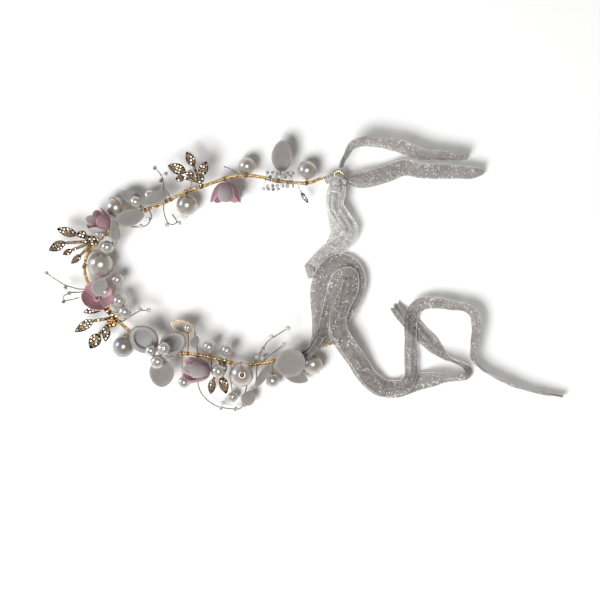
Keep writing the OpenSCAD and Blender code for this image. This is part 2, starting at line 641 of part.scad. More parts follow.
module ribbon_tail_a() {
    ribbon(upper_tie, with_rise(tail_a_stops));
}

module ribbon_tail_b() {
    ribbon(upper_tie, with_rise(tail_b_stops));
}

module ribbon_upper_loop() {
    ribbon(upper_tie, with_rise(upper_loop_stops), 2 * ribbon_t);
}

module ribbon_lower_outer() {
    ribbon(lower_tie, with_rise(outer_stops));
}

module ribbon_lower_inner() {
    ribbon(lower_tie, with_rise(inner_stops));
}

module ribbon_tail_c() {
    ribbon(tail_tie, tail_c_stops);
}

module ribbon_tail_d() {
    ribbon(tail_tie, tail_d_stops);
}

base_wire();
wrapping_wire();
upper_eyelet();
lower_eyelet();
for (n = [1 : len(pearls)])
    pearl(n);
pearl_threading_wires();
for (n = [1 : len(flowers)])
    flower_cup(flowers[n - 1]);
flower_pins();
set_petal(inner_petal_sets[0], "mistyrose");  // inner_petal_1
set_petal(inner_petal_sets[1], "mistyrose");  // inner_petal_2
set_petal(inner_petal_sets[2], "mistyrose");  // inner_petal_4
for (n = [1 : len(white_petal_sets)])
    set_petal(white_petal_sets[n - 1], "whitesmoke");
set_petal(long_petal_set, "whitesmoke");  // long_petal
set_petal(slim_petal_set, "whitesmoke");  // slim_petal
set_petal(tall_petal_set, "whitesmoke");  // tall_petal
set_petal(round_petal_set, "whitesmoke");  // round_petal
set_petal(low_petal_set, "whitesmoke");  // low_petal
set_petal(narrow_petal_set, "whitesmoke");  // narrow_petal
for (p = small_petal_sets) set_petal(p, "whitesmoke");  // small_petals
set_petal(gauze_set, "wheat");  // gauze_drop
petal_wires();
for (n = [1 : len(sprays)])
    leaf_spray(n);
leaf_stones();
bead_row(upper_beads);  // upper_bead_pearls
bead_row(lower_beads);  // lower_bead_pearls
bead_wires();
twigs(left_twigs);  // silver_wires_left
twigs(top_twigs);  // silver_wires_top
twigs(lower_twigs);  // silver_wires_lower
silver_leaf();
crystals(left_crystals);  // crystals_left
crystals(top_crystals);  // crystals_top
crystals(lower_crystals);  // crystals_lower
crystal_cluster();
ribbon_upper_knot();
ribbon_lower_knot();
ribbon_tail_a();
ribbon_tail_b();
ribbon_upper_loop();
ribbon_lower_outer();
ribbon_lower_inner();
ribbon_tail_c();
ribbon_tail_d();
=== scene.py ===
"""A flower crown: a wound wire C with pearls, resin flowers, frosted petals, stone-set leaves,
crystal twigs and organza ribbons. Lengths are metres; small sizes are written in millimetres, as
a number times MM."""

import json
import math

import bpy
import numpy as np
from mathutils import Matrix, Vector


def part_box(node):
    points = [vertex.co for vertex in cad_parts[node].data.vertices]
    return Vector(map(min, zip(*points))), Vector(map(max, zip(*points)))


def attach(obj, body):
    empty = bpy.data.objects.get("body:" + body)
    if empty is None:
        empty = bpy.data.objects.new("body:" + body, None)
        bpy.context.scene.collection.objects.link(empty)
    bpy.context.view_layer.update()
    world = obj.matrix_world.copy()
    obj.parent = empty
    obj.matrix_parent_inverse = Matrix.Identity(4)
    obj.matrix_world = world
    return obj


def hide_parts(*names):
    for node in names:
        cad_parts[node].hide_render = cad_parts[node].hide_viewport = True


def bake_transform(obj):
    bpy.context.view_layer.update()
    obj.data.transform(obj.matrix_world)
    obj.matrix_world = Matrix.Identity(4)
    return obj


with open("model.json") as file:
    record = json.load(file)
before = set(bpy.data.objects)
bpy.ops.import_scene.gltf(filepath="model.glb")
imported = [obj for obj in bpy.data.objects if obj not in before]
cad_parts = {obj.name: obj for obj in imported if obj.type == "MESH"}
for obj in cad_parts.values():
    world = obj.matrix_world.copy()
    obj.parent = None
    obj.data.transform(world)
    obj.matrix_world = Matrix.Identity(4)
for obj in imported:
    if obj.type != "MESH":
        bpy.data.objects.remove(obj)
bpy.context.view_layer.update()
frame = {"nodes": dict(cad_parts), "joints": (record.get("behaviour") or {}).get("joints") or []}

MM = 0.001
TURN = 2 * math.pi
joint_at = {j["name"]: np.array(j["pos_m"], float) for j in frame["joints"]}
joint_axis = {j["name"]: np.array(j["axis"], float) for j in frame["joints"]}


# ---------------------------------------------------------------- vectors and paths

def unit(v):
    """Each row of v at length one."""
    v = np.asarray(v, float)
    return v / np.maximum(np.linalg.norm(v, axis=-1, keepdims=True), 1e-12)


def smooth_step(low, high, x):
    """0 below low, 1 above high, and the cubic 3t^2 - 2t^3 between them."""
    t = np.clip((x - low) / (high - low), 0, 1)
    return t * t * (3 - 2 * t)


def spline(stops, steps=8):
    """Catmull-Rom curve through the rows of stops, with that many samples in each stretch."""
    p = np.asarray(stops, float)
    last = len(p) - 1
    s = np.linspace(0, last, last * steps + 1)
    i = np.minimum(s.astype(int), last - 1)
    f = (s - i)[:, None]
    a, b, c, d = p[np.maximum(i - 1, 0)], p[i], p[i + 1], p[np.minimum(i + 2, last)]
    return (b + (c - a) * f / 2 + (2 * a - 5 * b + 4 * c - d) * f ** 2 / 2
            + (3 * b - a - 3 * c + d) * f ** 3 / 2)


def run_of(path):
    """Distance along the path at each of its points."""
    steps = np.linalg.norm(np.diff(path[:, :3], axis=0), axis=1)
    return np.concatenate([[0.0], np.cumsum(steps)])


def at_run(path, where):
    """The path's columns at the distances `where`, straight between its points."""
    run = run_of(path)
    return np.stack([np.interp(where, run, path[:, k]) for k in range(path.shape[1])], axis=-1)


def even(path, step):
    """The same path with its points that far apart along it."""
    whole = run_of(path)[-1]
    return at_run(path, np.linspace(0, whole, max(int(round(whole / step)), 2) + 1))


def across_of(path):
    """Two unit vectors square to the path at each point, from the axis it runs along least."""
    along = unit(np.gradient(path, axis=0))
    least = np.eye(3)[np.argmin(np.abs(along).max(axis=0))]
    side = unit(np.cross(least, along))
    return along, side, np.cross(along, side)


def about(axis, angle):
    """The rotation by the angle about X, Y or Z, which are axes 0, 1 and 2."""
    i, j = (axis + 1) % 3, (axis + 2) % 3
    turn = np.eye(3)
    turn[i, i] = turn[j, j] = math.cos(angle)
    turn[j, i] = math.sin(angle)
    turn[i, j] = -turn[j, i]
    return turn


def aim(direction, turn=0.0):
    """The rotation that turns about +Z and then lays +Z on the direction."""
    x, y, z = unit(direction)
    return about(2, math.atan2(y, x)) @ about(1, math.acos(np.clip(z, -1, 1))) @ about(2, turn)


def laid(heading, pitch=0.0, roll=0.0):
    """The rotation of a petal drawn along +X: its roll and pitch, then its heading, in degrees."""
    return (about(2, math.radians(heading)) @ about(1, math.radians(-pitch))
            @ about(0, math.radians(roll)))


def solids(node):
    """The corners of each separate solid of a CAD node: corners that edges join share a label,
    and the lowest label spreads along the edges until nothing changes."""
    mesh = frame["nodes"][node].data
    co = np.empty(len(mesh.vertices) * 3)
    mesh.vertices.foreach_get("co", co)
    edges = np.empty(len(mesh.edges) * 2, int)
    mesh.edges.foreach_get("vertices", edges)
    spots, same = np.unique(np.round(co.reshape(-1, 3), 6), axis=0, return_inverse=True)
    a, b = same.ravel()[edges.reshape(-1, 2)].T
    label = np.arange(len(spots))
    while True:
        low = np.minimum(label[a], label[b])
        spread = label.copy()
        np.minimum.at(spread, a, low)
        np.minimum.at(spread, b, low)
        spread = spread[spread]
        if np.array_equal(spread, label):
            return [spots[label == k] for k in np.unique(label)]
        label = spread


def middle_and_size(corners):
    """The middle of the corners' box and the longest of its sides."""
    low, high = corners.min(axis=0), corners.max(axis=0)
    return (low + high) / 2, (high - low).max()


# ---------------------------------------------------------------- surfaces of two parameters

def patch(points, around=False, looped=False, capped=False, uv=None, mask=None, paint=0,
          smooth=True):
    """A surface of two parameters: points[i, j]. `around` joins the last column to the first and
    `looped` the last row to the first; `capped` closes both end rings on their middles. `uv` is
    the distance along each row and across each column. A closed patch is turned outwards."""
    rows, cols = points.shape[:2]
    i, j = np.meshgrid(np.arange(rows if looped else rows - 1),
                       np.arange(cols if around else cols - 1), indexing="ij")
    i, j = i.ravel(), j.ravel()
    k, m = i + 1, j + 1
    quads = np.stack([i % rows * cols + j % cols, i % rows * cols + m % cols,
                      k % rows * cols + m % cols, k % rows * cols + j % cols], axis=1)
    down, over = uv if uv is not None else (np.arange(rows + 1) / rows, np.arange(cols + 1) / cols)
    corner = np.stack([np.stack([down[i], over[j]], 1), np.stack([down[i], over[m]], 1),
                       np.stack([down[k], over[m]], 1), np.stack([down[k], over[j]], 1)], axis=1)
    co = points.reshape(-1, 3)
    mask = np.zeros(len(co)) if mask is None else np.broadcast_to(mask, (rows, cols)).ravel()
    faces, uvs = [quads], [corner]
    if capped:
        j = np.arange(cols)
        first, last = len(co), len(co) + 1
        fans = [np.stack([np.full(cols, first), (j + 1) % cols, j], 1),
                np.stack([np.full(cols, last), (rows - 1) * cols + j,
                          (rows - 1) * cols + (j + 1) % cols], 1)]
        co = np.concatenate([co, points[:1].mean(axis=1), points[-1:].mean(axis=1)])
        mask = np.concatenate([mask, [mask[:cols].mean(), mask[-cols:].mean()]])
        for fan, row in zip(fans, (0, rows - 1)):
            faces.append(fan)
            uvs.append(np.tile([[down[row], over[0]]], (cols, 3, 1)))
    shape = {"co": co, "faces": faces, "uv": uvs, "mask": mask, "paint": paint, "smooth": smooth}
    if around and (capped or looped):
        turn_out(shape)
    return shape


def turn_out(shape):
    """Turns every face over where the volume that the faces enclose comes out negative."""
    co, volume = shape["co"] - shape["co"].mean(axis=0), 0.0
    for faces in shape["faces"]:
        for k in range(1, faces.shape[1] - 1):
            a, b, c = co[faces[:, 0]], co[faces[:, k]], co[faces[:, k + 1]]
            volume += np.einsum("ij,ij->i", a, np.cross(b, c)).sum()
    if volume < 0:
        shape["faces"] = [faces[:, ::-1] for faces in shape["faces"]]
        shape["uv"] = [corner[:, ::-1] for corner in shape["uv"]]
    return shape


def moved(shape, rotation=None, at=(0, 0, 0)):
    """A shape turned by the rotation and moved so that its origin is at `at`."""
    co = shape["co"] if rotation is None else shape["co"] @ np.asarray(rotation).T
    return {**shape, "co": co + np.asarray(at, float)}


def copies(shape, at, sizes, rotations=None):
    """One shape repeated at every place and sized for each, or all to one size, as one shape. It
    is turned for each where there are rotations."""
    count, n = len(at), len(shape["co"])
    sizes = np.broadcast_to(sizes, count)
    rotations = np.repeat(np.eye(3)[None], count, 0) if rotations is None else rotations
    co = np.einsum("kab,nb->kna", rotations, shape["co"]) * sizes[:, None, None] + at[:, None]
    step = np.arange(count)[:, None, None] * n
    return {**shape, "co": co.reshape(-1, 3),
            "faces": [(f[None] + step).reshape(-1, f.shape[1]) for f in shape["faces"]],
            "uv": [np.tile(c, (count, 1, 1)) for c in shape["uv"]],
            "mask": np.tile(shape["mask"], count)}


def seated(shapes, *nodes):
    """Moves the shapes together so that the middle of their box is the middle of the nodes'."""
    co = np.concatenate([s["co"] for s in shapes])
    low = np.min([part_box(n)[0] for n in nodes], axis=0)
    high = np.max([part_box(n)[1] for n in nodes], axis=0)
    shift = (low + high) / 2 - (co.min(axis=0) + co.max(axis=0)) / 2
    return [moved(s, at=shift) for s in shapes]


def piece(name, shapes, finishes, body, stands_for=()):
    """One finished object: every shape's corners and faces put into a mesh as whole arrays, with
    the UV map and the point attribute 'mask'. It rides on its body and hides its CAD nodes."""
    start = np.cumsum([0] + [len(s["co"]) for s in shapes])
    loops, sizes, uvs, paint, soft = [], [], [], [], []
    for s, base in zip(shapes, start):
        for faces, corner in zip(s["faces"], s["uv"]):
            loops.append((faces + base).ravel())
            sizes.append(np.full(len(faces), faces.shape[1]))
            uvs.append(corner.reshape(-1, 2))
            paint.append(np.full(len(faces), s["paint"]))
            soft.append(np.full(len(faces), s["smooth"]))
    co = np.concatenate([s["co"] for s in shapes])
    loops, sizes = np.concatenate(loops), np.concatenate(sizes)
    mesh = bpy.data.meshes.new(name)
    mesh.vertices.add(len(co))
    mesh.vertices.foreach_set("co", co.ravel().astype(np.float32))
    mesh.loops.add(len(loops))
    mesh.loops.foreach_set("vertex_index", loops.astype(np.int32))
    mesh.polygons.add(len(sizes))
    mesh.polygons.foreach_set("loop_start", np.cumsum(np.r_[0, sizes[:-1]]).astype(np.int32))
    mesh.polygons.foreach_set("material_index", np.concatenate(paint).astype(np.int32))
    mesh.polygons.foreach_set("use_smooth", np.concatenate(soft))
    mesh.update(calc_edges=True)
    layer = mesh.uv_layers.new(name="UVMap")
    layer.data.foreach_set("uv", np.concatenate(uvs).ravel().astype(np.float32))
    values = mesh.attributes.new("mask", "FLOAT", "POINT")
    values.data.foreach_set("value", np.concatenate([s["mask"] for s in shapes]).astype(np.float32))
    for finish in finishes:
        mesh.materials.append(finish)
    made = bpy.data.objects.new(name, mesh)
    bpy.context.scene.collection.objects.link(made)
    if body:
        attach(made, body)
    if stands_for:
        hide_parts(*stands_for)
    return made


# ---------------------------------------------------------------- general shapes

def round_of(count):
    """That many angles, evenly round a circle."""
    return np.arange(count) * TURN / count


def spun(profile, angles):
    """The profile's rows, distance from Z and height, carried round Z to each of the angles."""
    reach, height = profile[:, :1], profile[:, 1:]
    x = reach * np.cos(angles)
    return np.stack([x, reach * np.sin(angles), np.broadcast_to(height, x.shape)], -1)


def tube(path, radius, sides=8, dome=2, paint=0):
    """Round tube: a circle of the radius (a number, or one for each point) square to the path at
    every point, with a quarter-circle dome of a few shrinking rings on each end."""
    path = np.asarray(path, float)
    along, side, up = across_of(path)
    radius = np.broadcast_to(np.asarray(radius, float), len(path))
    a = np.linspace(0, math.pi / 2, dome + 2)[1:-1]
    rise, fall = np.sin(a)[:, None], np.cos(a)
    head = path[0] - along[0] * radius[0] * rise[::-1]
    tail = path[-1] + along[-1] * radius[-1] * rise
    path = np.concatenate([head, path, tail])
    radius = np.concatenate([radius[0] * fall[::-1], radius, radius[-1] * fall])
    side = np.concatenate([np.repeat(side[:1], dome, 0), side, np.repeat(side[-1:], dome, 0)])
    up = np.concatenate([np.repeat(up[:1], dome, 0), up, np.repeat(up[-1:], dome, 0)])
    t = round_of(sides)
    ring = side[:, None] * np.cos(t)[:, None] + up[:, None] * np.sin(t)[:, None]
    points = path[:, None] + ring * radius[:, None, None]
    return patch(points, around=True, capped=True, paint=paint)


def wound(path, reach, depth, width, pitch, sides=6, steps=10, phase=0.0, paint=0):
    """Wire wound round a path: a helix at that reach from it, with one turn to each pitch, and an
    oval section that is depth deep away from the path and width wide along it."""
    path = even(path, pitch / steps)
    along, side, up = across_of(path)
    turn = (TURN * run_of(path) / pitch + phase)[:, None]
    out = side * np.cos(turn) + up * np.sin(turn)
    line = path + out * reach
    beside = unit(np.cross(unit(np.gradient(line, axis=0)), out))
    t = round_of(sides)
    points = (line[:, None] + out[:, None] * (depth / 2) * np.cos(t)[:, None]
              + beside[:, None] * (width / 2) * np.sin(t)[:, None])
    return patch(points, around=True, capped=True, paint=paint)


def twisted_pair(path, wire, pitch, paint=0):
    """Two wires laid round each other: two helices half a turn apart, at half a wire's width."""
    return [wound(path, wire / 2, wire, wire, pitch, sides=6, steps=8, phase=p, paint=paint)
            for p in (0.0, math.pi)]


def bored_ball(diameter, hole, rows=40, turns=56, lip=0.12, paint=0):
    """Ball with a hole through its poles: half a circle turned about Z, from the hole's edge to
    its other edge, with a rounded lip, and back down the hole, where `mask` is 1. Radius times a
    sine a few parts in a thousand deep makes it a little uneven, as a pearl is."""
    r, edge = diameter / 2, hole / 2
    start = math.asin(min((edge + lip * edge) / r, 0.9))
    a = np.linspace(start, math.pi - start, rows)
    out = np.stack([r * np.sin(a), r * np.cos(a)], 1)
    top = r * math.cos(start)
    bore = np.array([[edge, -top + lip * edge], [edge * 0.96, 0], [edge, top - lip * edge]])
    profile = np.concatenate([out, bore])
    t = round_of(turns)
    wave = 1 + 0.003 * np.sin(3 * t + 1)[None] * np.sin(2 * np.arange(len(profile)) / 9)[:, None]
    points = spun(profile, t) * np.stack([wave, wave, np.ones_like(wave)], -1)
    inside = (np.arange(len(profile)) >= rows).astype(float)[:, None]
    return patch(points, around=True, looped=True, mask=inside, paint=paint)


def faceted_bead(diameter, sides=8, paint=0):
    """Cut crystal bead: five rings of a ball, each turned half a facet from the last, with flat
    faces and a small flat at each pole."""
    a = np.radians([24, 52, 90, 128, 156])
    t = (np.arange(sides)[None] + 0.5 * (np.arange(5) % 2)[:, None]) * TURN / sides
    points = spun(np.stack([np.sin(a), np.cos(a)], 1), t) * diameter / 2
    return patch(points, around=True, capped=True, paint=paint, smooth=False)


def cut_stone(sides=8, paint=0):
    """Brilliant of diameter one with its girdle at z = 0: rings for the table, the crown, the
    girdle and the lower girdle, and a point below."""
    profile = np.array([[0.27, 0.2], [0.42, 0.12], [0.5, 0.02], [0.48, -0.05], [0.2, -0.26]])
    t = (np.arange(sides)[None] + np.array([0, 0.5, 0, 0, 0.5])[:, None]) * TURN / sides
    return patch(spun(profile, t), around=True, capped=True, paint=paint, smooth=False)


def setting_cup(sides=8, paint=0):
    """Collar of diameter one under a stone: a small closed section carried round a circle."""
    section = np.array([[0.49, 0.03], [0.56, 0.0], [0.54, -0.3], [0.4, -0.3]])
    return patch(spun(section, round_of(sides)), around=True, looped=True, paint=paint)


def prong(paint=0):
    """Low bead of diameter one: three rings of a ball with six sides."""
    a = np.radians([35, 90, 145])
    points = spun(np.stack([np.sin(a), np.cos(a)], 1), round_of(6)) / 2
    return patch(points, around=True, capped=True, paint=paint)


def petal(long, wide, thick, cup=0.0, ribs=0, rib=0.0, rim=0.0, vein=0.0, rows=44, half_cols=45,
          taper=0.85, fullness=0.7, paint=0):
    """Petal along +X. u runs from base to tip and s across, from -1 to 1. The half width is
    wide/2 times sin(pi u^taper)^fullness. The middle surface is the cup, a parabola both ways. The
    thickness falls to nothing at the outline as the root of 1 - s^4, and towards the tips. Ribs
    are a cosine of s on the upper side, the vein is a groove along s = 0, and the rim is a step
    of the distance from the middle that stands up near the outline. `mask` is 1 on the rim."""
    u = 0.5 - 0.5 * np.cos(np.linspace(0.02, math.pi - 0.02, rows))[:, None]
    s = np.linspace(-1, 1, half_cols)
    s = (0.45 * s + 0.55 * np.sin(s * math.pi / 2))[None]
    half = wide / 2 * np.sin(math.pi * u ** taper) ** fullness
    y = half * s
    body = (0.35 + 0.65 * np.sin(math.pi * u)) * np.sqrt(1 - (2 * u - 1) ** 8 * 0.98)
    depth = thick / 2 * body * np.sqrt(np.clip(1 - s ** 4, 0, 1))
    middle = cup * ((2 * y / wide) ** 2 + (2 * u - 1) ** 2)
    reach = np.sqrt((2 * u - 1) ** 2 + (1 - (2 * u - 1) ** 2) * s ** 2)
    edge = smooth_step(0.56, 0.7, reach)
    inner = 1 - smooth_step(0.75, 0.98, reach)
    upper = middle + depth * (1 if rim == 0 else 0.4 + 0.6 * edge) + rim * edge * (1 - reach ** 12)
    if ribs:
        upper = upper + rib * inner * (0.5 + 0.5 * np.cos(math.pi * ribs * s))
    upper = upper - vein * inner * np.exp(-(s / 0.1) ** 2)
    lower = middle - depth
    x = np.repeat(long * (u - 0.5), s.shape[1], 1)
    top = np.stack([x, y, upper], -1)
    under = np.stack([x, y, lower], -1)[:, -2:0:-1]
    tone = edge if rim else smooth_step(0.5, 1.0, reach)
    mask = np.concatenate([tone, tone[:, -2:0:-1]], axis=1)
    return patch(np.concatenate([top, under], axis=1), around=True, capped=True, mask=mask,
                 paint=paint)


# ---------------------------------------------------------------- finishes

def node(tree, kind, inputs=(), **settings):
    """A shader node with its settings; an input that is a socket is linked, others are set."""
    made = tree.nodes.new(kind)
    for key, value in settings.items():
        setattr(made, key, value)
    for key, value in dict(inputs).items():
        if isinstance(value, bpy.types.NodeSocket):
            tree.links.new(value, made.inputs[key])
        else:
            made.inputs[key].default_value = value
    return made


def maths(tree, operation, a, b=0.0, c=0.0):
    """The value of one step of arithmetic on up to three inputs."""
    return node(tree, "ShaderNodeMath", {0: a, 1: b, 2: c}, operation=operation).outputs[0]


def clamped(tree, value):
    """The value kept between 0 and 1."""
    return node(tree, "ShaderNodeClamp", {0: value}).outputs[0]


def ranged(tree, value, low, high, start=0.0, end=1.0, kind="LINEAR"):
    """A value's low to high spread over start to end, in a straight line or as a smooth step."""
    return node(tree, "ShaderNodeMapRange", {0: value, 1: low, 2: high, 3: start, 4: end},
                interpolation_type=kind).outputs[0]


def noise(tree, place, scale, detail, **more):
    """Cloudy noise about a half, with that many clouds to a metre."""
    return node(tree, "ShaderNodeTexNoise",
                {"Vector": place, "Scale": scale, "Detail": detail, **more}).outputs[0]


def blend_colour(tree, share, a, b):
    """Colour a, going over to colour b as the share goes from 0 to 1."""
    made = node(tree, "ShaderNodeMix", {0: share, 6: a, 7: b}, data_type="RGBA")
    return made.outputs[2]


def group(name, inputs, outputs):
    """An empty node group with named sockets, and its input and output nodes."""
    tree = bpy.data.node_groups.new(name, "ShaderNodeTree")
    for label, (kind, value) in inputs.items():
        socket = tree.interface.new_socket(label, in_out="INPUT", socket_type=kind)
        socket.default_value = value
    for label, kind in outputs.items():
        tree.interface.new_socket(label, in_out="OUTPUT", socket_type=kind)
    return tree, tree.nodes.new("NodeGroupInput").outputs, tree.nodes.new("NodeGroupOutput").inputs


COLOUR, NUMBER = "NodeSocketColor", "NodeSocketFloat"


def uneven_tone_group():
    """A finish colour that darkens in cloudy patches and where the mask says."""
    tree, into, out = group("Uneven tone", {
        "Colour": (COLOUR, (1, 1, 1, 1)), "Deep colour": (COLOUR, (0, 0, 0, 1)),
        "Patches per metre": (NUMBER, 300.0), "Patch share": (NUMBER, 0.4),
        "Mask": (NUMBER, 0.0)}, {"Colour": COLOUR, "Patches": NUMBER})
    place = node(tree, "ShaderNodeTexCoord").outputs["Object"]
    cloud = noise(tree, place, into["Patches per metre"], 4.0, Roughness=0.6)
    patches = ranged(tree, cloud, 0.35, 0.68, kind="SMOOTHSTEP")
    share = clamped(tree, maths(tree, "MULTIPLY_ADD", patches, into["Patch share"], into["Mask"]))
    tree.links.new(blend_colour(tree, share, into["Colour"], into["Deep colour"]), out["Colour"])
    tree.links.new(patches, out["Patches"])
    return tree


def fine_grain_group():
    """Small pits and specks: a height for bump and a mask of the specks."""
    tree, into, out = group("Fine grain", {
        "Grains per metre": (NUMBER, 4000.0), "Speck threshold": (NUMBER, 0.68)},
        {"Height": NUMBER, "Specks": NUMBER})
    place = node(tree, "ShaderNodeTexCoord").outputs["Object"]
    grain = noise(tree, place, into["Grains per metre"], 3.0)
    low = into["Speck threshold"]
    specks = ranged(tree, grain, low, maths(tree, "ADD", low, 0.08))
    tree.links.new(grain, out["Height"])
    tree.links.new(specks, out["Specks"])
    return tree


def thread_group():
    """Woven threads on the UV map, which is in metres: two sets of ridges that cross, how much of
    the cloth they cover, and flat foil specks that each catch the light in a tint of their own."""
    tree, into, out = group("Woven threads", {
        "Threads per metre": (NUMBER, 4000.0), "Cover": (NUMBER, 0.7),
        "Foil specks per metre": (NUMBER, 1800.0), "Foil share": (NUMBER, 0.1)},
        {"Height": NUMBER, "Alpha": NUMBER, "Foil": NUMBER, "Foil tint": COLOUR})
    place = node(tree, "ShaderNodeUVMap", uv_map="UVMap").outputs[0]
    part = node(tree, "ShaderNodeSeparateXYZ", {0: place}).outputs
    ridge = []
    for k in (0, 1):
        threads = maths(tree, "MULTIPLY", part[k], into["Threads per metre"])
        wave = maths(tree, "SINE", maths(tree, "MULTIPLY", threads, math.pi))
        ridge.append(maths(tree, "ABSOLUTE", wave))
    height = maths(tree, "MAXIMUM", ridge[0], ridge[1])
    uneven = noise(tree, place, 260.0, 3.0, Distortion=0.6)
    cover = maths(tree, "MULTIPLY_ADD", maths(tree, "SUBTRACT", height, 0.8), 0.7, into["Cover"])
    cover = maths(tree, "MULTIPLY_ADD", maths(tree, "SUBTRACT", uneven, 0.5), 0.5, cover)
    cells = node(tree, "ShaderNodeTexVoronoi",
                 {"Vector": place, "Scale": into["Foil specks per metre"]}).outputs
    pick = node(tree, "ShaderNodeSeparateColor", {0: cells["Color"]}).outputs
    dense = ranged(tree, noise(tree, place, 110.0, 2.0), 0.45, 0.68, 0.15, 1.8)
    lucky = maths(tree, "LESS_THAN", pick[0], maths(tree, "MULTIPLY", into["Foil share"], dense))
    close = maths(tree, "LESS_THAN", cells["Distance"], 0.46)
    foil = maths(tree, "MULTIPLY", lucky, close)
    tint = node(tree, "ShaderNodeCombineColor", {0: pick[1], 1: 0.16, 2: 1.0},
                mode="HSV").outputs[0]
    alpha = clamped(tree, maths(tree, "ADD", cover, foil))
    for value, label in ((height, "Height"), (alpha, "Alpha"), (foil, "Foil"), (tint, "Foil tint")):
        tree.links.new(value, out[label])
    return tree


UNEVEN, GRAIN, THREADS = uneven_tone_group(), fine_grain_group(), thread_group()


def finish_of(name, **values):
    """A material with a Principled BSDF whose plain sockets have these values."""
    made = bpy.data.materials.new(name)
    made.use_nodes = True
    tree = made.node_tree
    shader = tree.nodes["Principled BSDF"]
    for key, value in values.items():
        shader.inputs[key.replace("_", " ")].default_value = value
    return made, tree, shader


def use(tree, kind, **inputs):
    """A node group placed in a material, with its inputs by name."""
    named = {key.replace("_", " "): value for key, value in inputs.items()}
    return node(tree, "ShaderNodeGroup", named, node_tree=kind).outputs


def feed(tree, shader, **values):
    """Each value linked to the shader's socket of that name."""
    for key, value in values.items():
        tree.links.new(value, shader.inputs[key.replace("_", " ")])


def toned(tree, colour, deep, patches, share, mask=0.0):
    """The uneven tone group on a plain colour, or on one from a socket."""
    if not isinstance(colour, bpy.types.NodeSocket):
        colour = (*colour, 1)
    return use(tree, UNEVEN, Colour=colour, Deep_colour=(*deep, 1), Patches_per_metre=patches,
               Patch_share=share, Mask=mask)


def mask_of(tree, share=1.0):
    """The point attribute 'mask', times a share."""
    value = node(tree, "ShaderNodeAttribute", attribute_name="mask").outputs["Fac"]
    return maths(tree, "MULTIPLY", value, share)


def bumped(tree, shader, height, distance, strength=0.6):
    """Bump from a height into the shader's normal."""
    made = node(tree, "ShaderNodeBump", {"Strength": strength, "Distance": distance,
                                         "Height": height})
    feed(tree, shader, Normal=made.outputs[0])


def metal(name, colour, deep, rough, patches=500.0, share=0.5, grain=5000.0, pits=0.03 * MM):
    """Bare or plated metal: uneven colour, roughness that follows the patches, and fine pits. Where
    the mask is 1 the colour goes to the deep colour: on the cast leaves' raised rims that is
    painted shade along their outlines, and the small silver leaf goes darker towards its outline.
    """
    made, tree, shader = finish_of(name, Metallic=1.0)
    # The mask pulls the colour to the deep colour: painted shade on the cast leaves' rims.
    tone = toned(tree, colour, deep, patches, share, mask_of(tree))
    fine = use(tree, GRAIN, Grains_per_metre=grain)
    feed(tree, shader, Base_Color=tone["Colour"],
         Roughness=maths(tree, "MULTIPLY_ADD", tone["Patches"], 0.18, rough))
    bumped(tree, shader, fine["Height"], pits)
    return made


BARE_BROWN = (0.22, 0.13, 0.08, 1)


def nacre(name, colour, deep, rough=0.3, mirror=0.74):
    """Pearl coating: a warm body under a half mirror, so the dim dome above greys its middle and
    the pale table lights its rim, and a thin clear coat. The bore, by its mask, is bare brown."""
    made, tree, shader = finish_of(name, IOR=1.5, Coat_Weight=0.3, Coat_Roughness=0.12,
                                   Coat_IOR=1.5)
    tone = toned(tree, colour, deep, 180.0, 0.4)
    fine = use(tree, GRAIN, Grains_per_metre=3200.0, Speck_threshold=0.7)
    bare = mask_of(tree)
    feed(tree, shader, Base_Color=blend_colour(tree, bare, tone["Colour"], BARE_BROWN),
         Metallic=maths(tree, "MULTIPLY_ADD", bare, -mirror, mirror),
         Roughness=maths(tree, "MULTIPLY_ADD", fine["Specks"], 0.12, rough))
    bumped(tree, shader, fine["Height"], 0.01 * MM, 0.3)
    return made


def resin(name, colour, edge_colour, rough=0.42, glow=0.25, root_colour=None):
    """Matt tinted resin: soft light through it, a paler colour towards the edge from the mask,
    cloudy patches and a fine frosted grain. A root colour fades out along the first half of the UV
    map."""
    made, tree, shader = finish_of(name, IOR=1.48, Coat_Weight=0.12, Coat_Roughness=0.35,
                                   Subsurface_Weight=glow, Subsurface_Scale=2.0 * MM,
                                   Subsurface_Radius=(1.0, 0.75, 0.7))
    pale = blend_colour(tree, mask_of(tree, 0.55), (*colour, 1), (*edge_colour, 1))
    if root_colour:
        place = node(tree, "ShaderNodeUVMap", uv_map="UVMap").outputs[0]
        far = node(tree, "ShaderNodeSeparateXYZ", {0: place}).outputs[0]
        root = ranged(tree, far, 0.3, 0.62, 1.0, 0.0, "SMOOTHSTEP")
        pale = blend_colour(tree, root, pale, (*root_colour, 1))
    tone = toned(tree, pale, [0.78 * c for c in colour], 160.0, 0.5)
    fine = use(tree, GRAIN, Grains_per_metre=5200.0, Speck_threshold=0.66)
    feed(tree, shader, Base_Color=tone["Colour"],
         Roughness=maths(tree, "MULTIPLY_ADD", fine["Specks"], 0.2, rough))
    bumped(tree, shader, fine["Height"], 0.03 * MM)
    return made


def cut_glass(name, colour, weight=1.0, rough=0.02):
    """Cut glass with a little haze in specks of its roughness, and a near-white colour that goes
    almost black in patches: painted dark and bright reflections, so that its facets look black and
    white.
    """
    made, tree, shader = finish_of(name, IOR=1.75, Transmission_Weight=weight, Coat_Weight=0.5)
    fine = use(tree, GRAIN, Grains_per_metre=900.0, Speck_threshold=0.6)
    # Painted reflections: the colour goes almost black in patches and stays near white between
    # them, for the dark and bright things that the facets reflect.
    tone = toned(tree, colour, [0.01 * c for c in colour], 420.0, 1.0)
    feed(tree, shader, Base_Color=tone["Colour"],
         Roughness=maths(tree, "MULTIPLY_ADD", fine["Specks"], 0.08, rough))
    return made


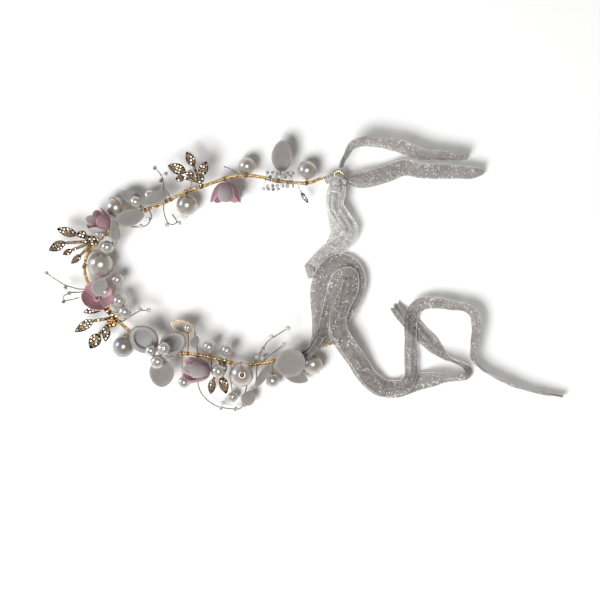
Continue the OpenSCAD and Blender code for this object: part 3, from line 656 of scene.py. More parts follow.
def foiled_stone(name, colour, dark):
    """Cut stone, part metallic under a clear coat: its colour goes almost black in small patches by
    place, painted dark reflections like those in the facets of a foil-backed stone.
    """
    made, tree, shader = finish_of(name, Metallic=0.4, Roughness=0.12, Coat_Weight=1.0,
                                   Coat_Roughness=0.03)
    # Painted reflections: the near-black patches stand for the dark things that the facets reflect.
    feed(tree, shader, Base_Color=toned(tree, colour, dark, 1100.0, 1.0)["Colour"])
    return made


def woven(name, colour, edge_colour, cover, threads, foil_size, foil_share, rough=0.5):
    """Sheer cloth: alpha and bump from the threads, a paler corded selvedge from the mask, foil
    specks, and cloudy tone."""
    made, tree, shader = finish_of(name, Sheen_Weight=0.25, Sheen_Roughness=0.4, IOR=1.4)
    cloth = use(tree, THREADS, Threads_per_metre=threads, Cover=cover,
                Foil_specks_per_metre=foil_size, Foil_share=foil_share)
    edge = mask_of(tree)
    tone = toned(tree, colour, [0.6 * c for c in colour], 330.0, 0.8)
    dressed = blend_colour(tree, edge, tone["Colour"], (*edge_colour, 1))
    feed(tree, shader,
         Base_Color=blend_colour(tree, cloth["Foil"], dressed, cloth["Foil tint"]),
         Alpha=clamped(tree, maths(tree, "MULTIPLY_ADD", edge, 0.4, cloth["Alpha"])),
         Roughness=maths(tree, "MULTIPLY_ADD", cloth["Foil"], -0.2, rough))
    bumped(tree, shader, cloth["Height"], 0.06 * MM, 0.7)
    return made


GOLD_WINDING = metal("gold plated winding", (0.98, 0.74, 0.34), (0.4, 0.19, 0.06), 0.15, 800.0)
GOLD_WIRE = metal("gold plated wire", (0.88, 0.63, 0.3), (0.36, 0.2, 0.08), 0.2)
BRONZE_WIRE = metal("bronze binding wire", (0.58, 0.34, 0.18), (0.15, 0.07, 0.03), 0.24)
ANTIQUE_GOLD = metal("antique gold casting", (0.46, 0.28, 0.12), (0.03, 0.018, 0.009), 0.3, 900.0,
                     0.9)
SILVER = metal("silver wire", (0.6, 0.54, 0.48), (0.14, 0.12, 0.1), 0.18, 700.0, 0.7)
PEARL = nacre("ivory pearl", (0.56, 0.51, 0.455), (0.47, 0.42, 0.37))
GREY_PEARL = nacre("smoke pearl", (0.42, 0.4, 0.38), (0.3, 0.28, 0.26))
WHITE_PEARL = nacre("white seed pearl", (0.62, 0.585, 0.54), (0.5, 0.46, 0.42), 0.26)
PINK_RESIN = resin("dusty pink resin", (0.33, 0.19, 0.215), (0.42, 0.28, 0.305), glow=0.45)
# A lighter copy of the dusty pink resin: painted light, so that the open flower's bowl, which lies
# in shade, comes out as pale as the other pink flowers.
LIGHTENED_PINK_RESIN = resin("rose resin", (0.52, 0.31, 0.35), (0.6, 0.42, 0.46), glow=0.6)
BLUSH_RESIN = resin("blush resin", (0.36, 0.325, 0.33), (0.42, 0.34, 0.36), glow=0.4,
                    root_colour=(0.33, 0.2, 0.225))
FROSTED = resin("frosted resin", (0.255, 0.236, 0.22), (0.34, 0.315, 0.295), 0.38, 0.3)
FROSTED_COOL = resin("frosted cool resin", (0.25, 0.245, 0.24), (0.3, 0.27, 0.255), 0.34, 0.5)
# The crystal's colour carries painted reflections, dark in patches.
CRYSTAL = cut_glass("clear crystal", (0.96, 0.95, 0.94), 0.35)
# Both stones carry painted dark reflections in patches of their colour.
STONE = foiled_stone("foiled rhinestone", (0.44, 0.38, 0.29), (0.016, 0.01, 0.005))
AMBER_STONE = foiled_stone("foiled amber stone", (0.9, 0.5, 0.16), (0.3, 0.12, 0.03))
ORGANZA = woven("glitter organza", (0.32, 0.292, 0.272), (0.62, 0.59, 0.55), 0.52, 3600.0,
                1900.0, 0.17)
# A lighter copy of the same glitter organza: painted light, for the upper loop and the knots, which
# look paler in the light than the tails of the same ribbons.
LIGHTENED_ORGANZA = woven("pale glitter organza", (0.6, 0.58, 0.555), (0.78, 0.76, 0.73), 0.5, 3600.0,
                     1900.0, 0.16)
GAUZE = woven("gold gauze", (0.62, 0.52, 0.43), (0.66, 0.56, 0.46), 0.85, 2600.0, 1700.0, 0.3)


# ---------------------------------------------------------------- camera, light and floor

def look_at(thing, target):
    """Turns a lamp so that its -Z points at the target."""
    direction = np.asarray(target, float) - np.array(thing.location)
    x, y, z = unit(-direction)
    thing.rotation_euler = (math.acos(z), 0, math.atan2(y, x) + math.pi / 2)


def area_light(name, at, target, size, power, colour=(1, 1, 1)):
    """A square lamp that faces the target; size in metres and power in watts."""
    data = bpy.data.lights.new(name, "AREA")
    data.size, data.energy, data.color = size, power, colour
    light = bpy.data.objects.new(name, data)
    light.location = at
    bpy.context.scene.collection.objects.link(light)
    look_at(light, target)
    return light


def set_the_scene():
    """Camera straight above, a pale floor, a large soft lamp to the left and in front, a small
    one overhead that only the gloss sees, and a small cool one low on the left for the gloss
    too, under a grey studio dome."""
    scene = bpy.context.scene
    view_middle = (49.3 * MM, -17.4 * MM, 0.0)
    field, away, sensor = 0.348, 2.6, 36.0
    camera = bpy.data.objects.new("camera", bpy.data.cameras.new("camera"))
    camera.data.sensor_width = sensor
    camera.data.lens = sensor * away / field
    camera.location = (view_middle[0], view_middle[1], away)
    scene.collection.objects.link(camera)
    scene.camera = camera
    floor_size = 3.0
    edge = np.array([-floor_size, floor_size])
    x, y = np.meshgrid(edge, edge, indexing="ij")
    made, tree, shader = finish_of("white table", Roughness=0.8, Specular_IOR_Level=0.1)
    fine = use(tree, GRAIN, Grains_per_metre=900.0)
    tone = toned(tree, (0.91, 0.91, 0.91), (0.89, 0.89, 0.89), 30.0, 0.3)
    feed(tree, shader, Base_Color=tone["Colour"])
    bumped(tree, shader, fine["Height"], 0.01 * MM, 0.2)
    flat = patch(np.stack([x, y, np.zeros_like(x)], -1))
    flat["faces"] = [faces[:, ::-1] for faces in flat["faces"]]
    piece("table_top", [flat], [made], None)
    key = area_light("soft lamp", (-0.95, -1.0, 1.6), view_middle, 1.15, 66.0)
    key.visible_glossy = False
    above = area_light("lamp above", (0.02, -0.02, 1.5), view_middle, 0.45, 11.0)
    above.visible_diffuse = False
    window = area_light("cool window", (-0.9, 0.3, 0.3), (0.0, 0.0, 0.01), 0.34, 5.0,
                        (0.4, 0.58, 1.0))
    window.visible_diffuse = False
    world = bpy.data.worlds.new("studio dome")
    scene.world = world
    world.use_nodes = True
    tree = world.node_tree
    way = node(tree, "ShaderNodeTexCoord").outputs["Generated"]
    up = node(tree, "ShaderNodeSeparateXYZ", {0: way}).outputs[2]
    level = ranged(tree, up, 0.1, 0.85, 0.6, 0.14, "SMOOTHSTEP")
    tree.links.new(level, tree.nodes["Background"].inputs["Strength"])
    tree.nodes["Background"].inputs["Color"].default_value = (1.0, 0.99, 0.97, 1)
    scene.view_settings.view_transform = "Standard"


set_the_scene()


# ---------------------------------------------------------------- head wire

CORE_D = 1.2 * MM
WRAP_D = 2.2 * MM
# Along, across and droop below the wire's height, as the frame's wire runs.
WIRE_ROUTE = [
    [68.5, 54, 2], [62, 53, 1.5], [54, 50.2, 0.5], [45, 50.5, 0], [36, 51.5, 0], [25, 54, 0],
    [14, 54.5, 0], [5, 52.5, 0], [-5, 49, 0], [-16, 45.5, 0], [-27, 40, 0], [-40, 34.5, 0],
    [-53, 28, 0], [-64, 20, 0], [-72.5, 11, 0.8], [-75.5, 1, 2.6], [-72, -10, 4.4],
    [-62, -22.5, 3.6], [-52, -33, 1.2], [-40, -41, 0], [-27, -47.5, 0], [-14, -48.5, 0],
    [-1, -51, 0], [11, -54, 0], [24, -54.5, 0], [36, -52, 0.5], [47, -48.5, 2],
    [56.5, -45.5, 3.5], [64, -43.5, 5], [72, -41.5, 6.5]]
wire_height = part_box("base_wire")[1].z - CORE_D / 2
wire_stops = np.array(WIRE_ROUTE) * MM * [1, 1, -1] + [0, 0, wire_height]
WIRE_STEPS = 24
wire_path = spline(wire_stops, WIRE_STEPS)
# Stops of the route between which the winding runs, and those of the bare end's own turns.
WRAP_STOPS = (1.0, 25.5)
BARE_STOPS = (26.6, 28.9)


def wire_between(first, last):
    """The stretch of the head wire between two of its stops."""
    return wire_path[int(first * WIRE_STEPS):int(last * WIRE_STEPS) + 1]


def nearest_on_wire(point):
    """Index of the head wire's sample nearest to a point."""
    return int(np.argmin(np.linalg.norm(wire_path - point, axis=1)))


def root_and_end(corners):
    """Where a wire solid meets the head wire, as the index of a sample, and its farthest corner."""
    gaps = [np.linalg.norm(wire_path - c, axis=1).min() for c in corners]
    return nearest_on_wire(corners[np.argmin(gaps)]), corners[np.argmax(gaps)]


def middle_of(node):
    """The middle of a CAD node's box."""
    low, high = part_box(node)
    return np.array(low + high) / 2


def binding(index, turns=3, wire=0.36 * MM, paint=0):
    """A few turns of thin wire round the head wire, about one of its samples."""
    run = run_of(wire_path)
    half = turns * wire * 1.1 / 2
    middle = np.clip(run[index], half, run[-1] - half)
    path = at_run(wire_path, np.linspace(middle - half, middle + half, 12))
    return wound(path, WRAP_D / 2 + wire * 0.3, wire, wire, wire * 1.1, sides=6, steps=14,
                 phase=float(index), paint=paint)


def head_wire():
    """The core is a tube along the wire's route, with a few loose turns on its bare end. The
    winding is a flat wire wound closely round it and a thin wire wound widely over that."""
    bare_end = wound(wire_between(*BARE_STOPS), 0.72 * MM, 0.4 * MM, 0.8 * MM, 0.9 * MM, steps=14)
    piece("core_wire", [tube(even(wire_path, 1.2 * MM), CORE_D / 2, 16), bare_end], [GOLD_WIRE],
          "crown", ["base_wire"])
    wrapped = wire_between(*WRAP_STOPS)
    flat_wire = wound(wrapped, 0.8 * MM, 0.66 * MM, 0.86 * MM, 1.12 * MM, sides=8, steps=16)
    thin_wire = wound(wrapped, 1.0 * MM, 0.24 * MM, 0.24 * MM, 5.3 * MM, sides=5, steps=48)
    piece("gold_winding", [flat_wire, thin_wire], [GOLD_WINDING], "crown", ["wrapping_wire"])


head_wire()
for eyelet in ("upper_eyelet", "lower_eyelet"):
    frame["nodes"][eyelet].data.materials.clear()
    frame["nodes"][eyelet].data.materials.append(GOLD_WIRE)


# ---------------------------------------------------------------- pearls

THREAD_D = 0.42 * MM
TOP_HOLE_D = 2.5 * MM
SMALL_HOLE_D = 1.0 * MM
PLUG_SHARE = 0.485
GREY_ONE = 6
# Pearls that a wire also passes over, and the direction from the middle in which it does.
PEARLS_UNDER_A_WIRE = {2: (0.35, 0.6, 1.0), 7: (0.0, 1.0, 0.6)}


def wire_over(middle, reach, over, start, end):
    """A wire from the head wire up over a ball to its hole: the three points' directions from the
    ball's middle, smoothly joined, at that reach and no nearer."""
    steps = spline([start - middle, unit(over) * reach, end - middle], 12)
    far = np.linalg.norm(steps, axis=1, keepdims=True)
    return middle + steps * np.maximum(far, reach) / far


def large_pearls():
    """Each pearl is a bored ball on its spin joint. An upright one has a plug of bare brown in its
    wide hole. Two wires run twisted together from the head wire, and one through the pearl."""
    wires = []
    threads = solids("pearl_threading_wires")
    for n in range(1, 9):
        middle = joint_at[f"pearl_{n}_spin"]
        way = joint_axis[f"pearl_{n}_spin"]
        size = middle_and_size(solids(f"pearl_{n}")[0])[1]
        upright = way[2] > 0.9
        hole = TOP_HOLE_D if upright else SMALL_HOLE_D
        shapes = [moved(bored_ball(size, hole), aim(way), middle)]
        if upright:
            top = way * (size * 0.5 - 0.7 * MM)
            plug = tube([middle - top, middle, middle + top], hole * PLUG_SHARE, 24, dome=0)
            shapes.append({**plug, "mask": np.ones(len(plug["co"]))})
        piece(f"large_pearl_{n}", shapes, [GREY_PEARL if n == GREY_ONE else PEARL], f"pearl_{n}",
              [f"pearl_{n}"])
        thread = min(threads, key=lambda c: np.linalg.norm(c - middle, axis=1).min())
        root, _ = root_and_end(thread)
        reach = way * (size / 2 + 0.5 * MM) * (-1 if upright else 1)
        near, far = middle + reach, middle - reach
        start = wire_path[root]
        lift = np.array([0, 0, 0.6 * MM])
        lead = spline([start, (start * 2 + near) / 3 + lift, (start + near * 2) / 3 + lift, near],
                      10)
        wires += twisted_pair(lead, THREAD_D, 1.9 * MM)
        wires.append(tube(np.linspace(near, far, 8), THREAD_D * 0.7, 8))
        wires.append(binding(root, 4))
        if n in PEARLS_UNDER_A_WIRE:
            wires.append(tube(wire_over(middle, size / 2 + 0.3 * MM, PEARLS_UNDER_A_WIRE[n],
                                        wire_path[root], far), 0.26 * MM, 8))
    piece("pearl_wires", wires, [BRONZE_WIRE], "crown", ["pearl_threading_wires"])


# How much larger than the frame's a bead is drawn; a seed bead is one up to this size.
BEAD_GROWTH = 1.12
SEED_GROWTH = 1.35
SEED_D = 3 * MM


def pearl_beads():
    """Small pearls where the frame's beads are, each on a wire that is bound to the head wire and
    ends in the bead's hole."""
    wires = solids("bead_wires")
    balls = {"upper_bead_pearls": [], "lower_bead_pearls": []}
    made = []
    for name, shapes in balls.items():
        for corners in solids(name):
            middle, size = middle_and_size(corners)
            wire = min(wires, key=lambda c: np.linalg.norm(c - middle, axis=1).min())
            root, _ = root_and_end(wire)
            way = unit(middle - wire_path[root])
            hole = min(0.8 * MM, size * 0.2)
            growth = BEAD_GROWTH if size > SEED_D else SEED_GROWTH
            ball = bored_ball(size * growth, hole, rows=24, turns=36)
            shapes.append(moved(ball, aim(way), middle))
            start, end = wire_path[root], middle + way * size * 0.52
            bow = np.cross(way, [0, 0, 1]) * 0.5 * MM
            lead = spline([start, (start + middle) / 2 + bow, middle - way * size * 0.4, end], 8)
            made.append(tube(lead, THREAD_D * 0.62, 7))
            made.append(binding(root, 3))
    for name, shapes in balls.items():
        piece(name.replace("bead_pearls", "small_pearls"), shapes, [WHITE_PEARL], "crown", [name])
    piece("small_pearl_wires", made, [BRONZE_WIRE], "crown", ["bead_wires"])


large_pearls()
pearl_beads()


# ---------------------------------------------------------------- resin flowers

def bell_petal(radius, depth, thick, spread, flare, lean, paint=0, rows=30, half_cols=17):
    """Petal of a bell. The bell's meridian is a quarter of an ellipse, at angle a from its base.
    u runs up it and s across the petal, whose half angle keeps to the spread up to a third of
    the way and then closes as a superellipse. The skin is half the thickness to each side, less
    towards the outline; the tip flares out, one edge leans over the next petal, and a groove
    follows the middle. `mask` is 1 at the outline."""
    u = (0.5 - 0.5 * np.cos(np.linspace(0.03, math.pi - 0.03, rows)))[:, None]
    s = np.sin(np.linspace(-1, 1, half_cols) * math.pi / 2)[None]
    a = np.radians(8 + 84 * u)
    ring = 1.0 * MM + (radius - 1.0 * MM) * np.sin(a)
    height = depth * (1 - np.cos(a))
    slope = unit(np.stack([(radius - 1.0 * MM) * np.cos(a), depth * np.sin(a)], -1))
    close = np.clip((u - 0.35) / 0.65, 0, 1)
    half_angle = spread * (1 - close ** 3.6) ** 0.5
    skin = thick / 2 * np.sqrt(np.clip(1 - s ** 4, 0, 1)) * (1 - 0.5 * u ** 3)
    vein = 0.14 * MM * np.exp(-(s / 0.14) ** 2) * (1 - u)
    out = flare * u ** 5 + lean * s * np.sin(math.pi * u) * 0.9
    sides = []
    for away in (skin - vein, -skin):
        off = out + away
        r = ring + slope[..., 1] * off
        z = height - slope[..., 0] * off
        t = half_angle * s
        sides.append(np.stack([r * np.cos(t), r * np.sin(t), z + 0 * s], -1))
    tone = smooth_step(0.6, 1.0, np.maximum(np.abs(s), u ** 2 + 0 * s))
    mask = np.concatenate([tone, tone[:, -2:0:-1]], axis=1)
    points = np.concatenate([sides[0], sides[1][:, -2:0:-1]], axis=1)
    return patch(points, around=True, capped=True, mask=mask, paint=paint)


def flower_seat(radius, bore, paint=0):
    """Ring that joins the petals at the base, a rounded section carried round the pin."""
    t = round_of(10)
    middle = (radius + bore) / 2
    half = 0.75 * MM
    section = np.stack([middle + (radius - bore) / 2 * np.cos(t), half + half * np.sin(t)], 1)
    return patch(spun(section, round_of(28)), around=True, looped=True, paint=paint)


# Turn of the first petal from the top in degrees, which petals are pale, outward flare in mm, and
# how much of the cup's depth the petals take.
FLOWERS = {1: (10, (4,), 0.6, 0.85), 2: (0, (), 0.5, 0.5), 3: (0, (0,), 0.9, 0.95),
           4: (-8, (0,), 0.2, 1.0)}
PETAL_COUNT = 5
PETAL_SPREAD = math.radians(38)
PETAL_LEAN = 0.34 * MM
RESIN_T = 1.0 * MM
PIN_D = 0.72 * MM
# Flower 2 is open and shows a seed pearl, here along and across.
OPEN_FLOWER = 2
SEED_AT = (-62.8 * MM, -13 * MM)


def pink_flowers():
    """Petals round each pin, the first one turned from the top of the flower. Radius and depth
    are the reach of the CAD cup's corners across and along its joint's axis."""
    pins = []
    for n, (turn, pale, flare, share) in FLOWERS.items():
        base, way = joint_at[f"flower_{n}_turn"], joint_axis[f"flower_{n}_turn"]
        cup = np.concatenate(solids(f"pink_flower_{n}")) - base
        depth = (cup @ way).max()
        radius = np.linalg.norm(cup - np.outer(cup @ way, way), axis=1).max() - RESIN_T / 2
        shapes = [flower_seat(2.2 * MM, 0.46 * MM)]
        across, over, _ = aim(way).T
        top = math.atan2(over[2], across[2])
        for k in range(PETAL_COUNT):
            one = bell_petal(radius, depth * share, RESIN_T, PETAL_SPREAD, flare * MM,
                             PETAL_LEAN, paint=1 if k in pale else 0)
            spin = top + math.radians(turn + 360 * k / PETAL_COUNT)
            shapes.append(moved(one, aim((0, 0, 1), spin)))
        shapes = [moved(s, aim(way), base) for s in shapes]
        if n == OPEN_FLOWER:
            seed = bored_ball(2.7 * MM, 0.5 * MM, rows=16, turns=24, paint=2)
            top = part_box(f"pink_flower_{n}")[1].z - 1.3 * MM
            shapes.append(moved(seed, at=(*SEED_AT, top)))
        # The open flower takes the lighter copy of the pink resin: painted light in its shaded
        # bowl.
        pink = LIGHTENED_PINK_RESIN if n == OPEN_FLOWER else PINK_RESIN
        piece(f"resin_flower_{n}", shapes, [pink, BLUSH_RESIN, WHITE_PEARL], f"flower_{n}",
              [f"pink_flower_{n}"])
        root = nearest_on_wire(base)
        back = base - way * 1.2 * MM
        pins.append(tube(np.linspace(back, base + way * 2.4 * MM, 6), PIN_D / 2, 10))
        pins.append(moved(faceted_bead(1.9 * MM), aim(way), base + way * 2.9 * MM))
        bow = (wire_path[root] + back) / 2 + [0, 0, 0.3 * MM]
        pins += twisted_pair(spline([wire_path[root], bow, back], 10), THREAD_D, 1.6 * MM)
        pins.append(binding(root, 4))
    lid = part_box("pink_flower_1")[1].z + 0.2 * MM
    thread = np.array([[-75, 29.5, -2.4], [-70.5, 27.2, 0], [-65.5, 23.8, -2.2]]) * MM
    thread = thread + [0, 0, lid]
    pins.append(tube(spline(thread, 10), 0.14 * MM, 6))
    piece("flower_pins_and_ties", pins, [BRONZE_WIRE], "crown", ["flower_pins"])


pink_flowers()


# ---------------------------------------------------------------- petals

# Heading, pitch and roll in degrees; length, width and cup in mm; ribs; rim in mm; how round.
PETALS = {
    "long_petal": ((15, 2, -6), (17.4, 10.4, 0.6), 16, 0, 0.62),
    "slim_petal": ((25, 0, 8), (16, 7.5, 0.5), 11, 0, 0.62),
    "tall_petal": ((88, 6, 0), (18, 12.2, 0.8), 17, 0, 0.52),
    "white_flower_petal_1": ((143, 8, 0), (18, 15.5, 0.9), 0, 0.6, 0.5),
    "white_flower_petal_2": ((28, 8, 0), (15.7, 13.6, 0.8), 0, 0.6, 0.5),
    "white_flower_petal_3": ((270, -6, 0), (16.2, 14.4, 1.2), 21, 0, 0.48),
    "round_petal": ((200, 0, -6), (17.6, 16.6, 0.8), 22, 0, 0.5),
    "low_petal": ((345, 0, 10), (14, 7, 0.5), 10, 0, 0.56),
    "narrow_petal": ((57, 5, 0), (18, 4.6, 0.3), 7, 0, 0.6)}
INNER_PETALS = {
    1: ((165, 14, 8), (7.6, 6, 0.5)), 2: ((70, 6, 0), (11, 10, 0.8)),
    4: ((178, 12, 0), (12, 7.2, 0.6))}
SMALL_PETALS = [
    ((-48.7, 42.4, 7.5), 160, (12, 7.4, 0.5)), ((-57.6, 21.6, 15), 95, (11.6, 6.4, 0.4)),
    ((-11.3, -41.5, 12.5), 70, (7, 5.2, 0.4)), ((19.4, -74.2, 6), 60, (9.4, 8, 0.4))]
FROSTED_T = 1.5 * MM
RIB = 0.2 * MM


def frosted_petals():
    """Petals of frosted resin where the frame's are; fine ribs run from base to tip."""
    for name, (turns, (long, wide, cup), ribs, rim, full) in PETALS.items():
        shape = petal(long * MM, wide * MM, FROSTED_T, cup * MM, ribs=ribs, rib=RIB, rim=rim * MM,
                      half_cols=161 if ribs else 61, fullness=full, taper=0.92)
        shape = moved(shape, laid(*turns))
        piece(name.replace("white_flower_petal", "white_petal") + "_resin", seated([shape], name),
              [FROSTED_COOL if rim else FROSTED], "crown", [name])
    shapes = [moved(petal(long * MM, wide * MM, FROSTED_T, cup * MM, ribs=9, rib=RIB, half_cols=91,
                          fullness=0.55), laid(heading), np.array(at) * MM)
              for at, heading, (long, wide, cup) in SMALL_PETALS]
    piece("small_petals_resin", seated(shapes, "small_petals"), [FROSTED], "crown",
          ["small_petals"])
    for n, (turns, (long, wide, cup)) in INNER_PETALS.items():
        shape = petal(long * MM, wide * MM, FROSTED_T, cup * MM, ribs=9, rib=RIB * 0.7,
                      half_cols=81, fullness=0.55)
        shape = moved(shape, laid(*turns))
        piece(f"inner_petal_{n}_resin", seated([shape], f"inner_petal_{n}"),
              [FROSTED if n == 2 else BLUSH_RESIN],
              f"flower_{n}", [f"inner_petal_{n}"])


def petal_ties():
    """A twisted wire from the head wire to each petal, where the frame's wires run."""
    made = []
    for corners in solids("petal_wires"):
        root, end = root_and_end(corners)
        bow = (wire_path[root] + end) / 2 + [0, 0, 0.4 * MM]
        made += twisted_pair(spline([wire_path[root], bow, end], 10), THREAD_D, 1.7 * MM)
        made.append(binding(root, 4))
    piece("petal_ties", made, [BRONZE_WIRE], "crown", ["petal_wires"])


def gauze_petal():
    """Gauze stretched over a petal-shaped outline of wire: a shallow dish of thin cloth, and the
    outline as a tube."""
    heading, long, wide, cup = 165, 14 * MM, 6.9 * MM, 0.12 * MM
    cloth = moved(petal(long, wide, 0.3 * MM, cup, half_cols=31, rows=40, fullness=0.55, taper=0.9),
                  laid(heading))
    t = np.linspace(0, TURN, 60)
    u = 0.5 - 0.49 * np.cos(t)
    y = wide / 2 * np.sin(math.pi * u ** 0.9) ** 0.55 * np.sign(np.sin(t))
    z = cup * ((2 * y / wide) ** 2 + (2 * u - 1) ** 2)
    edge = np.stack([long * (u - 0.5), y, z], 1)
    hoop = moved(tube(edge, 0.19 * MM, 8, paint=1), laid(heading))
    made = piece("gauze_petal", seated([cloth, hoop], "gauze_drop"), [GAUZE, GOLD_WIRE], "crown",
                 ["gauze_drop"])


frosted_petals()
petal_ties()
gauze_petal()


# ---------------------------------------------------------------- cast leaves and their stones

# Middle, heading, length and width of each leaf, and the hub, as the frame's sprays are laid out.
SPRAYS = {
    1: (((-69, 16.6, 10.8), (((-85.3, 22, 12), 163, 12, 5.4), ((-91, 13.6, 12), 207, 10.5, 5.8),
        ((-85, 10.2, 10.5), 207, 6.2, 3.6), ((-80, 6.2, 11), 222, 7.6, 3.8),
        ((-76.6, 20.6, 12.6), 163, 5.6, 4.4), ((-70.8, 17.8, 12.6), 135, 5, 4.6)))),
    2: (((-8.6, 50.8, 10.8), (((-21.8, 58.4, 13), 160, 10.8, 6.4), ((-14, 64, 14), 118, 9.4, 5.2),
        ((-6.4, 58.4, 13.4), 68, 9, 5.6), ((-20, 52.8, 12), 190, 5.4, 4),
        ((-8, 53.2, 12.6), 100, 5, 4.2)))),
    3: (((-58.4, -27.6, 10.8), (((-69.8, -22.8, 8.4), 196, 12.6, 4.8),
        ((-75.4, -32.4, 12), 213, 12.6, 5.4), ((-69.4, -41.2, 11), 238, 10, 7),
        ((-62.6, -37, 11), 264, 8.8, 4.8), ((-59.4, -30.4, 13), 220, 7, 5.8)))),
    4: (((4.2, -53, 10.4), (((-1.7, -67.6, 7), 262, 8.4, 4.6), ((5.4, -66.8, 8), 285, 10, 5.4),
        ((5, -56.8, 10), 275, 7.4, 4.2))))}
LEAF_T = 1.2 * MM
STONE_D = 1.75 * MM
STONE_SHARE = 0.84
PRONG_D = 0.42 * MM
# The leaf, by spray and place in it, and the hub's crest, by spray, that carry amber stones.
AMBER_LEAVES = {(3, 4)}
AMBER_CREST = 3
CREST = np.array([[0, 0, 1.5], [1.5, 0.8, 0.9], [-0.6, 1.7, 0.9], [0.4, -1.7, 0.9]]) * MM


def leaf_stones_on(long, wide):
    """Where the stones of one leaf sit, in its own plane: stations a stone apart along it, and as
    many rows at each as its width there holds, every second station set over by half a row."""
    count = max(int(long * 0.86 / STONE_D), 1)
    spots = []
    for k in range(count):
        x = (k - (count - 1) / 2) * STONE_D * 1.02
        half = wide / 2 * math.sin(math.pi * (x / long + 0.5) ** 0.85) ** 0.7
        rows = max(int((2 * half + 0.3 * MM) / STONE_D), 1)
        spots += [(x, (r - (rows - 1) / 2) * STONE_D, 0.0) for r in range(rows)]
    return np.array(spots)


def leaf_sprays():
    """Each leaf is a cast petal with a raised rim; stones in collars with prongs cover it, and a
    tapered stalk runs to the hub and on to the head wire."""
    rng = np.random.default_rng(7)
    stones = {0: [], 1: []}
    for n, (hub, leaves) in SPRAYS.items():
        hub = np.array(hub) * MM
        shapes, collars = [], []
        for k, (at, heading, long, wide) in enumerate(leaves):
            at, long, wide = np.array(at) * MM, long * MM, wide * MM
            turn = laid(heading)
            # The rim, by its mask, takes the antique gold's near-black deep colour: painted shade
            # along the leaf's outline.
            shapes.append(moved(petal(long, wide, LEAF_T, rim=0.28 * MM, vein=0.1 * MM,
                                      half_cols=31, rows=36), turn, at))
            spots = leaf_stones_on(long, wide) @ turn.T + at + [0, 0, LEAF_T / 2 + 0.32 * MM]
            collars.append(spots)
            back = at - turn[:, 0] * long * 0.4
            stalk = spline([hub, (hub + back) / 2 - [0, 0, 0.4 * MM], back], 8)
            shapes.append(tube(stalk, np.linspace(1.0, 0.75, len(stalk)) * MM, 12))
            which = 1 if (n, k) in AMBER_LEAVES else 0
            whole = run_of(stalk)[-1]
            beads = at_run(stalk, np.arange(2.2 * MM, whole - 0.8 * MM, STONE_D * 1.9))
            beads = beads + [0, 0, 0.9 * MM + 0.25 * MM]
            collars.append(beads)
            stones[which].append(np.concatenate([spots, beads]))
        collars = np.concatenate(collars)
        shapes.append(copies(setting_cup(), collars, STONE_D))
        t = np.radians([45, 135, 225, 315])
        claws = np.stack([np.cos(t), np.sin(t), 0 * t + 0.12], 1) * STONE_D * 0.5
        shapes.append(copies(prong(), (collars[:, None] + claws).reshape(-1, 3), PRONG_D))
        root = nearest_on_wire(hub)
        shapes.append(tube(spline([hub, (hub + wire_path[root]) / 2, wire_path[root]], 6),
                           0.55 * MM, 10))
        knob = moved(bored_ball(2.6 * MM, 0.4 * MM, rows=14, turns=20), at=hub)
        shapes += [knob, binding(root, 5, 0.4 * MM)]
        crest = hub + CREST
        stones[1 if n == AMBER_CREST else 0].append(crest)
        shapes.append(copies(setting_cup(), crest, STONE_D))
        piece(f"cast_leaves_{n}", shapes, [ANTIQUE_GOLD], "crown", [f"leaf_spray_{n}"])
    made = []
    for paint, spots in stones.items():
        spots = np.concatenate(spots)
        spin = rng.uniform(0, TURN, len(spots))
        lean = rng.uniform(-0.12, 0.12, (len(spots), 2))
        turns = np.array([aim((a, b, 1), t) for (a, b), t in zip(lean, spin)])
        made.append(copies(cut_stone(paint=paint), spots, STONE_D * STONE_SHARE, turns))
    piece("leaf_rhinestones", made, [STONE, AMBER_STONE], "crown", ["leaf_stones"])


leaf_sprays()


# ---------------------------------------------------------------- silver twigs and crystals

# Routes in mm, as the frame's twigs run.
TWIGS = {
    "silver_wires_left": [
        [[-96, -2.6, 10], [-91, -6, 9.6], [-86.4, -8.7, 9], [-79, -11, 8.6]],
        [[-79, -13, 9.6], [-83, -13.2, 11], [-87, -15, 11.4], [-86.6, -17.6, 11], [-82, -17, 9.8],
         [-78.6, -16, 8.8]]],
    "silver_wires_top": [
        [[-33.2, 57.6, 12], [-31.4, 55.4, 11.4], [-29.8, 52, 10.4], [-29.4, 47.6, 9.4],
         [-28.4, 42, 9]],
        [[-29.4, 38, 9], [-29.4, 34, 8.6], [-27.6, 28, 7.4], [-24.6, 26.2, 7], [-22, 28, 7.4],
         [-24.4, 32, 8.2]],
        [[-37.6, 34, 8.6], [-36.6, 30.4, 8], [-39, 26.2, 7.6], [-43, 24.9, 7.6], [-49, 25.2, 8]],
        [[13.6, 55.6, 9.4], [9, 58.4, 10], [5.4, 59.8, 10.6]]],
    "silver_wires_lower": [
        [[-53, -29.6, 9.6], [-48, -26.4, 10.4], [-43, -23.6, 11], [-39.4, -23.4, 11]],
        [[-9.6, -66.6, 7], [-7.6, -71.6, 6], [-3, -76.4, 5], [3.2, -79.4, 4.4], [13, -80.6, 4],
         [15.6, -79.4, 4]],
        [[23, -54.6, 9.8], [25.6, -49, 10.6], [28, -45.4, 11.4], [31, -41, 12.4],
         [36, -37.6, 13.4], [41.2, -34.4, 14]],
        [[27, -54, 9.4], [32, -49.4, 10], [39, -44, 10.8]]]}
SILVER_D = 0.42 * MM
CRYSTAL_GROWTH = 1.25


